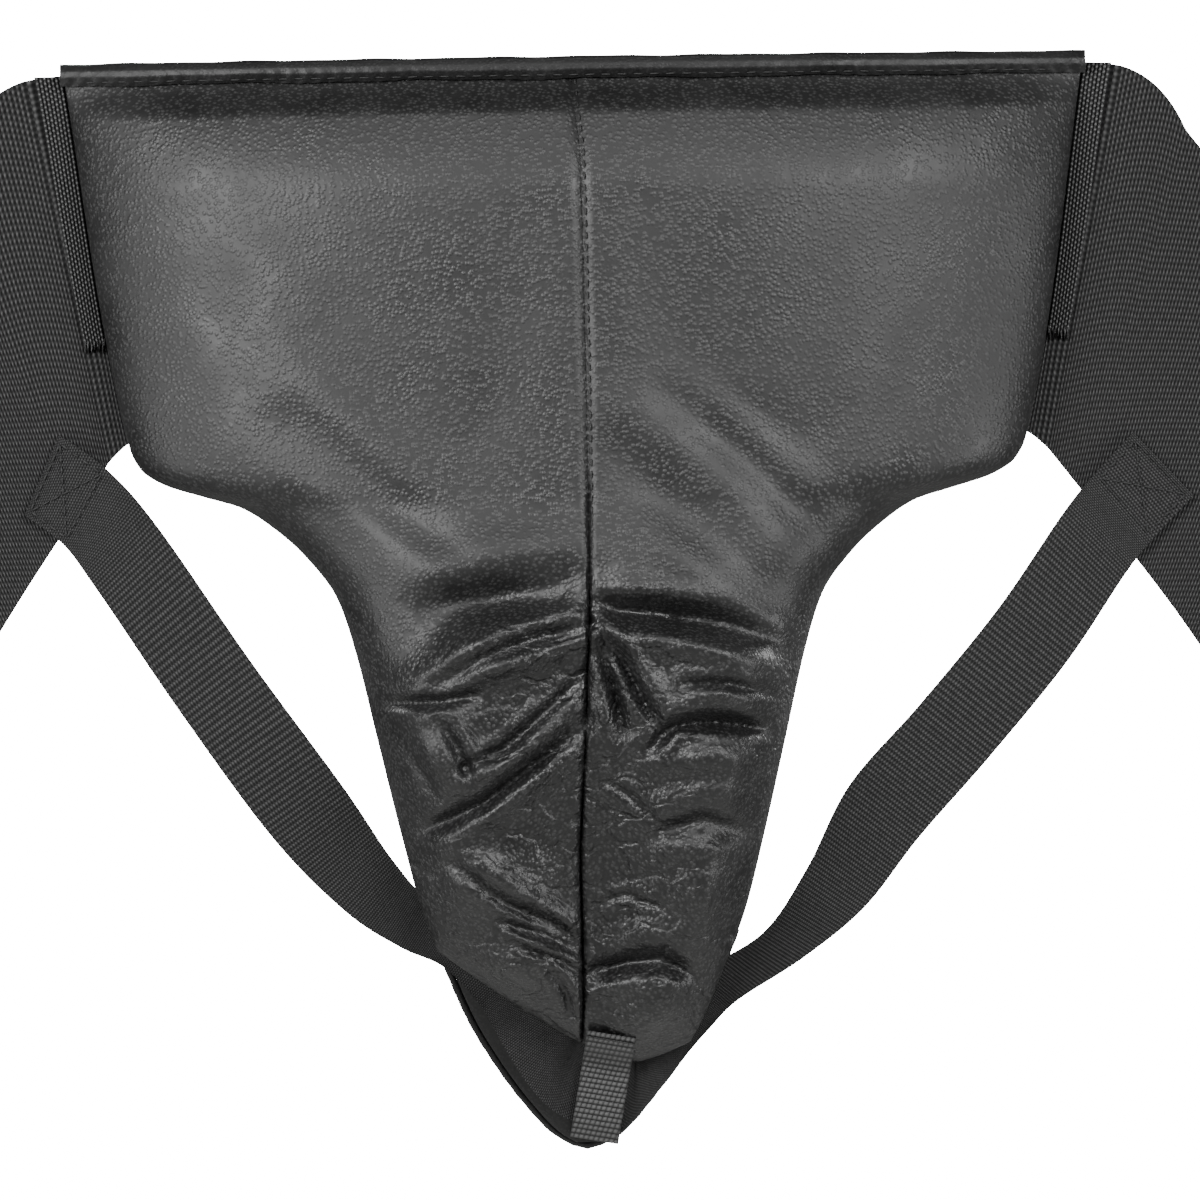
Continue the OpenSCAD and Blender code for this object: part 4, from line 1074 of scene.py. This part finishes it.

# %% [markdown]
# ## The leg strap
# One length of woven elastic runs from wing to wing. It comes off each wing, passes between the
# padded front and the tongue, and crosses the tip under the keeper. It is made as two halves that
# meet under the keeper.

# %% The strap's path
# Place in percent of the shield's half width and height, the angle of the strap's width above
# level, how far its width opens, and how far it lies out on the wing (1) or in the slit (0).
STATIONS = np.array([
    (-105, 37.3, 66, 1, 1), (-96.4, 40.4, 60, 1, 1), (-88, 45.4, 44, 1, 0.9), (-71.5, 57, 37, 1, 0.6),
    (-54, 68.5, 35, 1, 0.3), (-42, 75.5, 45, 0.8, 0.1), (-33, 79, 57, 0.65, 0), (-23.3, 80.6, 50, 0.8, 0),
    (-15, 84.3, 42, 0.88, 0), (-10.8, 87.8, 38, 0.88, 0), (-6.1, 91.5, 52, 0.92, 0), (-1.6, 93.5, 80, 1, 0),
    (7.9, 94.3, 80, 1, 0), (10.3, 92.4, 100, 0.92, 0), (12.3, 90.9, 118, 0.85, 0), (14.5, 89.4, 135, 0.8, 0),
    (20, 87.3, 140, 0.66, 0), (26.4, 85, 140, 0.55, 0), (39, 81.4, 148, 0.55, 0.05), (49.3, 76.2, 145, 0.8, 0.2),
    (59, 69.2, 142, 1, 0.35), (73, 61.9, 141, 1, 0.6), (88.4, 53.3, 140, 1, 0.85), (100.7, 45, 134, 1, 1),
    (106.4, 41.7, 130, 1, 1), (114.6, 37.7, 133, 1, 1)], float)
TAB_LIFT = WING_T / 2 + 0.3 + STRAP_T / 2
MIDDLE = 11.4


def station(s):
    last = len(STATIONS) - 1
    i = np.clip(np.floor(s).astype(int), 0, last - 1)
    t = (s - i)[:, None]
    a, b = STATIONS[np.maximum(0, i - 1)], STATIONS[i]
    c, d = STATIONS[i + 1], STATIONS[np.minimum(last, i + 2)]
    return 0.5 * (2 * b + (c - a) * t + (2 * a - 5 * b + 4 * c - d) * t**2 + (3 * b - a - 3 * c + d) * t**3)


def strap_point(s, w):
    """A point of the strap's middle layer: s along the stations, w from -1 to 1 across it."""
    p = station(s)
    angle = np.radians(p[:, 2])
    reach = STRAP_W / 2 * p[:, 3] * w
    x = p[:, 0] / 100 * HALF_W + reach * np.cos(angle)
    z = -p[:, 1] / 100 * PAD_H + reach * np.sin(angle)
    out = np.clip(p[:, 4], 0, 1)
    y = (back_y(x, z) - FLAP_T - SLIT_ROOM / 2) * (1 - out) + (wing_y(x, z) - TAB_LIFT) * out
    # Where the strap is turned on edge, its width stands up instead of lying flat.
    tilt = np.sqrt(np.maximum(0, 1 - np.minimum(1, p[:, 3]) ** 2)) * w * STRAP_W / 2 * 0.14
    return x, y + tilt, z


def strap_length(start, end):
    x, y, z = strap_point(np.linspace(start, end, 300), np.zeros(300))
    return float(np.sum(np.sqrt(np.diff(x) ** 2 + np.diff(y) ** 2 + np.diff(z) ** 2)))


def strap(start, end, name):
    length = strap_length(start, end)

    def face(offset):
        def at(u, v):
            s = start + (end - start) * u
            w = 2 * v - 1
            x, y, z = strap_point(s, w)
            wave = 0.3 * np.sin(s * 3.1) + 0.2 * np.sin(s * 7.3 + w)
            selvedge = 0.25 * smooth((np.abs(w) - 0.9) / 0.1)
            return x, y + offset + wave * 0.5 - selvedge * np.sign(offset) * -1, z
        return at

    piece = sheet_piece(name, int(length / 0.9), 28, face(-STRAP_T / 2), face(STRAP_T / 2), cloth=(length, STRAP_W))
    layer = piece.data.uv_layers[0].data
    uv = np.empty(len(layer) * 2, np.float32)
    layer.foreach_get("uv", uv)
    layer.foreach_set("uv", uv.reshape(-1, 2)[:, ::-1].copy().ravel())
    return piece, length


def metres(x, y, z):
    return (float(x[0]) / 1000, float(y[0]) / 1000, float(z[0]) / 1000)


left_half, left_length = strap(0.0, MIDDLE, "leg_strap_left_half")
right_half, right_length = strap(MIDDLE, len(STATIONS) - 1.0, "leg_strap_right_half")
print("leg strap", round(left_length), "+", round(right_length), "mm")
for half, length, tag, inner, outer in ((left_half, left_length, "left", 4.6, 1.2),
                                        (right_half, right_length, "right", 19.0, 23.4)):
    half.data.materials.clear()
    half.data.materials.append(strap_elastic)
    start = metres(*strap_point(np.array([inner]), np.zeros(1)))
    end = metres(*strap_point(np.array([outer]), np.zeros(1)))
    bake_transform(half)
    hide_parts(f"{tag}_leg_strap", "leg_strap_middle")


# %% Box stitches on the ends of the strap
def box_of_stitches(start, end, name, tag):
    corners = [strap_point(np.array([s]), np.array([w])) for s, w in
               ((start, -0.84), (start, 0.84), (end, 0.84), (end, -0.84))]
    corners = [np.array([c[0][0], c[1][0] - STRAP_T / 2 - 0.15, c[2][0]]) for c in corners]
    places = []
    for a, b in list(zip(corners, corners[1:] + corners[:1])) + [(corners[0], corners[2]), (corners[1], corners[3])]:
        n = int(np.linalg.norm(b - a) / 3.0)
        places += [(a + (b - a) * (i + 0.5) / n, b - a) for i in range(n)]
    piece = sew(name, places, length=2.3, width=0.6)
    done(piece, f"{tag}_wing_body", thread, f"{tag}_strap_stitches")


box_of_stitches(0.12, 0.95, "left_box_sewing", "left")
box_of_stitches(24.05, 24.88, "right_box_sewing", "right")

# %% [markdown]
# ## The keeper
# A short length of coarse webbing holds the strap at the tip. Its weft stands up in rows of small
# knots, which is what catches the light on it; the knots' tops are also painted lighter, a painted highlight.

# %% Weave the keeper
KEEPER_W, KEEPER_TILT = 14.0, math.radians(10)
KEEPER_TOP = (0.05 * HALF_W, -0.894 * PAD_H)
KEEPER_LEN = PAD_H - 1.6 + KEEPER_TOP[1]
OVER_STRAP = FLAP_T + SLIT_ROOM + 0.4
keeper_rise = curve([(0, SLIT_FULL + 9), (6, SLIT_FULL + 5), (8, SLIT_FULL + 3), (10, OVER_STRAP + 0.8),
                     (20, OVER_STRAP + 0.4), (26, OVER_STRAP), (KEEPER_LEN, FLAP_T + 0.5)])


def keeper_xz(k, w):
    x = KEEPER_TOP[0] - k * math.sin(KEEPER_TILT) + w * math.cos(KEEPER_TILT)
    return x, KEEPER_TOP[1] - k * math.cos(KEEPER_TILT) - w * math.sin(KEEPER_TILT)


def keeper_y(k):
    """How far the keeper's back face stands off, clear of the padded front it is sewn to."""
    up = keeper_rise(k)
    for w in (-7.0, -3.5, 0.0, 3.5, 7.0):
        x, z = keeper_xz(k, w)
        on = z > front_end(x) - 1
        leather_up = thick(x, np.maximum(z, front_end(x))) + 0.7
        up = np.where(on, np.maximum(up, leather_up), up)
    return up


def keeper_knot(u, v):
    """Knots of the weft, 0 to 1, in rows that are each moved by half a knot."""
    row, dot = KEEPER_LEN * (1 - v) / 1.5, (u - 0.5) * KEEPER_W / 1.45
    return (np.abs(np.sin(np.pi * row)) ** 0.8 * (0.35 + 0.65 * np.abs(np.sin(np.pi * (dot + 0.25 * row))) ** 0.8)
            * (1 - 0.4 * smooth((0.06 - np.minimum(u, 1 - u)) / 0.06)))


def keeper_face(lift):
    def at(u, v):
        k = KEEPER_LEN * (1 - v)
        w = (u - 0.5) * KEEPER_W
        x, z = keeper_xz(k, w)
        ease = np.array([keeper_y(k + d) for d in (-1.2, -0.6, 0.0, 0.6, 1.2)]).mean(axis=0)
        return x, back_y(x, z) - ease - (0.9 + 0.55 * keeper_knot(u, v) if lift else 0.1), z
    return at


keeper = sheet_piece("strap_keeper_webbing", 130, 220, keeper_face(True), keeper_face(False),
                     cloth=(KEEPER_W, KEEPER_LEN))
# The knot attribute also paints the knots' tops lighter in the webbing's colour, a painted highlight.
set_rib(keeper, keeper_knot(*grid_uv(130, 220)))
done(keeper, "shield", webbing, "strap_keeper")

places = []
for w in np.arange(-0.42, 0.43, 0.12) * KEEPER_W:
    x, z = keeper_xz(1.8, w)
    y = float(back_y(x, z) - keeper_y(np.array([1.8]))[0] - 1.35)
    places.append(((x, y, z), (math.cos(KEEPER_TILT), 0.0, -math.sin(KEEPER_TILT))))
keeper_sewing = sew("keeper_sewing", places, length=1.5, width=0.55)
done(keeper_sewing, "shield", thread, "keeper_stitches")

# %% [markdown]
# ## The closure
# The left wing ends in a stiff leather tab that carries hooks on its inner side; the right wing
# carries a field of loops on its outer side and has a bound end. The hard sizes are the frame's,
# so these pieces are cut to the same outlines, with softer corners and real stitching.

# %% Place things at the end of a wing
def wing_end(side):
    """A function that takes points along, out of and across the wing's end to the shared frame."""
    low, _ = wing_edges(DROOP[side])
    ex, ez = (float(c) for c in low(1.0))
    droop, reach = math.radians(END_DROOP), (ex - SIDE_X) / math.cos(SWEEP)

    def place(x, y, z):
        x, z = x * math.cos(droop) + z * math.sin(droop) + reach, -x * math.sin(droop) + z * math.cos(droop) + ez
        x, y = x * math.cos(SWEEP) - y * math.sin(SWEEP), x * math.sin(SWEEP) + y * math.cos(SWEEP)
        return side * (x + SIDE_X), y + SIDE_Y, z
    return place


SIDE_Y = float(wing_y(np.array([SIDE_X]), np.array([-ROOT_LOW]))[0])
TAB_LEN, TAB_GAP, TAB_IN, TAB_T, PATCH_T, LOOP_LEN, LOOP_IN = 52.0, 2.4, 8.0, 2.2, 1.5, 90.0, 9.0
TAB_ROOT, TAB_TURN = 5.0, 4.0
left_end, right_end = wing_end(-1), wing_end(1)


def rounded(u, v, x0, x1, z0, z1, r):
    """A rectangle with two rounded far corners, filled by a grid: each column is cut short in the corners."""
    x = x0 + (x1 - x0) * u
    short = np.clip((x - (x1 - r)) / r, 0, 1)
    pinch = r * (1 - np.sqrt(np.maximum(0, 1 - short**2)))
    return x, z0 + pinch + (z1 - z0 - 2 * pinch) * v


def plate_piece(name, place, box, r, y_front, y_back, dome=0.0, columns=70, rows=70, flip=False):
    def face(y, bulge):
        def at(u, v):
            x, z = rounded(1 - u if flip else u, v, *box, r)
            edge = np.minimum(np.minimum(u, 1 - u), np.minimum(v, 1 - v))
            return place(x, y + bulge * (1 - smooth(edge / 0.06)), z)
        return at
    piece = sheet_piece(name, columns, rows, face(y_front, dome), face(y_back, -dome),
                        cloth=(box[1] - box[0], box[3] - box[2]))
    return piece


# The tab's root overlaps the end of the elastic.
tab = plate_piece("closure_tab_leather", left_end, (-TAB_ROOT, TAB_LEN, TAB_IN, WING_W - TAB_IN), 14.0,
                  -TAB_T / 2, TAB_T / 2, dome=0.5, flip=True)
done(tab, None, smooth_leather, "closure_tab")
tab_start, tab_end = (tuple(float(c) / 1000 for c in left_end(far, 0.0, WING_W / 2)) for far in (0.0, TAB_TURN))
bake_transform(tab)
hooks = plate_piece("hook_tape", left_end, (TAB_GAP + 7, TAB_LEN - 4, TAB_IN + 4, WING_W - TAB_IN - 4), 11.0,
                    TAB_T / 2 + 0.05, TAB_T / 2 + 0.1 + PATCH_T, dome=0.0, flip=True)
done(hooks, "closure", hook_look, "hook_patch")
loops = plate_piece("loop_tape", right_end, (-LOOP_LEN - 8, -8.0, LOOP_IN + 1.5, WING_W - LOOP_IN + 1.5), 3.0,
                    -WING_T / 2 - 0.3 - PATCH_T, -WING_T / 2 - 0.05, dome=0.4)
done(loops, "right_wing_body", loop_look, "loop_patch")


def sew_line(place, start, end, y, step=4.6):
    a, b = np.array([start[0], y, start[1]], float), np.array([end[0], y, end[1]], float)
    n = int(np.linalg.norm(b - a) / step)
    out = []
    for i in range(n):
        p, q = a + (b - a) * (i + 0.5) / n, a + (b - a) * (i + 0.6) / n
        p, q = np.array(place(*p)), np.array(place(*q))
        out.append((p, q - p))
    return out


y = -TAB_T / 2 - 0.15
tab_rows = sew_line(left_end, (TAB_GAP + 3, TAB_IN + 4), (TAB_GAP + 3, WING_W - TAB_IN - 4), y)
tab_rows += sew_line(left_end, (TAB_GAP + 8, TAB_IN + 3), (TAB_LEN - 16, TAB_IN + 3), y)
tab_rows += sew_line(left_end, (TAB_GAP + 8, WING_W - TAB_IN - 3), (TAB_LEN - 16, WING_W - TAB_IN - 3), y)
tab_rows += sew_line(left_end, (TAB_LEN - 5, TAB_IN + 16), (TAB_LEN - 5, WING_W - TAB_IN - 16), y)
done(sew("closure_sewing", tab_rows), "closure", thread, "closure_stitches")
o = 0.9
corners = [(-LOOP_LEN - 8 - o, LOOP_IN + 1.5 - o), (-8 + o, LOOP_IN + 1.5 - o), (-8 + o, WING_W - LOOP_IN + 1.5 + o),
           (-LOOP_LEN - 8 - o, WING_W - LOOP_IN + 1.5 + o)]
loop_rows = []
for a, b in zip(corners, corners[1:] + corners[:1]):
    loop_rows += sew_line(right_end, a, b, -WING_T / 2 - 0.45, step=3.4)
done(sew("loop_sewing", loop_rows, length=2.6), "right_wing_body", thread, "loop_stitches")


# %% Bind the cut end of the right wing
def end_fold(inset):
    def at(u, v):
        # u goes round the cut end, from the outer side to the inner side.
        arc = np.pi * smooth((u - 0.3) / 0.4)
        r = WING_T / 2 + 0.3 + 1.3 - inset
        x = np.where(u < 0.3, -6 + 6 * u / 0.3, np.where(u > 0.7, -6 * (u - 0.7) / 0.3, 0)) + r * np.sin(arc) * 0.9
        return right_end(x, -r * np.cos(arc) - 0.25 * np.cos(2 * np.pi * v * WING_W / 5.0) * (u < 0.1), WING_W * v)
    return at


end_strip = sheet_piece("right_end_leather", 40, 120, end_fold(0.0), end_fold(1.2), cloth=(16, WING_W))
done(end_strip, "right_wing_body", smooth_leather, "right_end_binding")

# %% [markdown]
# ## Floor, light and camera
# A pale floor lies well below the guard, out of the front view. Round soft lights show the grain: one
# in front on each side, the left a little stronger, a weak one low on each side, a weak one above,
# and two behind for the back. They are narrowed, so the floor sends little light up into the folds.
# The camera is far off and square to the front, and leans by less than a degree.

# %% Floor
FLOOR_SIDE, FLOOR_DROP = 4000.0, 900.0
deselect()
bpy.ops.mesh.primitive_plane_add(size=1, location=(0, 0, 0))
floor = bpy.context.object
floor.name = "floor"
move_points(floor, np.column_stack([points_of(floor)[:, :2] * FLOOR_SIDE, np.full(4, -FLOOR_DROP)]))
paper, paper_shader = new_material("pale_paper", "#d4d4d2", Roughness=0.9)
tooth = add(paper, "TexNoise", Vector=add(paper, "TexCoord").outputs["Object"], Scale=900.0)
link(paper, add(paper, "Bump", Height=tooth.outputs["Fac"], Distance=0.0001, Strength=0.2).outputs["Normal"],
     paper_shader.inputs["Normal"])
floor.data.materials.append(paper)

# %% Light
# The air round the object is white to the eye, but lights it only a little, so the soft boxes model it.
world = bpy.data.worlds.new("studio")
bpy.context.scene.world = world
world.use_nodes = True
tree = world.node_tree
dim = tree.nodes["Background"]
dim.inputs["Color"].default_value = (1, 1, 1, 1)
dim.inputs["Strength"].default_value = 0.05
bright = tree.nodes.new("ShaderNodeBackground")
bright.inputs["Strength"].default_value = 30.0
seen = tree.nodes.new("ShaderNodeLightPath")
choice = tree.nodes.new("ShaderNodeMixShader")
tree.links.new(seen.outputs["Is Camera Ray"], choice.inputs[0])
tree.links.new(dim.outputs[0], choice.inputs[1])
tree.links.new(bright.outputs[0], choice.inputs[2])
tree.links.new(choice.outputs[0], tree.nodes["World Output"].inputs["Surface"])


LAMP_SPREAD = math.radians(70)


def soft_light(name, place, aim, size, power):
    lamp = bpy.data.lights.new(name, "AREA")
    lamp.shape, lamp.size, lamp.energy, lamp.spread = "DISK", size, power, LAMP_SPREAD
    piece = bpy.data.objects.new(name, lamp)
    bpy.context.collection.objects.link(piece)
    piece.location = place
    piece.rotation_euler = (Vector(aim) - Vector(place)).to_track_quat("-Z", "Y").to_euler()


soft_light("left_box", (-1.2, -1.5, 0.4), (-0.06, 0, -0.12), 0.9, 8)
soft_light("right_box", (1.05, -1.6, 0.55), (0.08, 0, -0.1), 0.9, 6)
soft_light("low_left_strip", (-1.5, -0.4, -0.55), (-0.03, 0, -0.2), 0.7, 1.6)
soft_light("low_right_strip", (1.5, -0.4, -0.5), (0.03, 0, -0.2), 0.7, 2.0)
soft_light("top_box", (0.0, -1.3, 1.7), (0.0, 0, -0.08), 1.3, 2.5)
soft_light("back_left_box", (-1.1, 1.8, 0.9), (0.0, 0.02, -0.15), 1.2, 10)
soft_light("back_right_box", (1.2, 1.7, 0.6), (0.0, 0.02, -0.15), 1.2, 8)

# %% Camera
MM_PER_UNIT, VIEW_UNITS, SENSOR_MM = 0.285, 1200, 36.0
DISTANCE = 8.0
LEAN = math.radians(0.8)
camera = bpy.data.cameras.new("front_camera")
camera.sensor_width = SENSOR_MM
camera.lens = SENSOR_MM * DISTANCE * 1000 / (VIEW_UNITS * MM_PER_UNIT)
eye = bpy.data.objects.new("front_camera", camera)
bpy.context.collection.objects.link(eye)
up = Vector((math.sin(LEAN), 0, math.cos(LEAN)))
right = Vector((math.cos(LEAN), 0, -math.sin(LEAN)))
ahead = Vector((0, 1, 0))
turn = Matrix((right, up, -ahead)).transposed().to_4x4()
eye.matrix_world = Matrix.Translation((0.0057, -DISTANCE - 0.01, -0.1539)) @ turn
bpy.context.scene.camera = eye
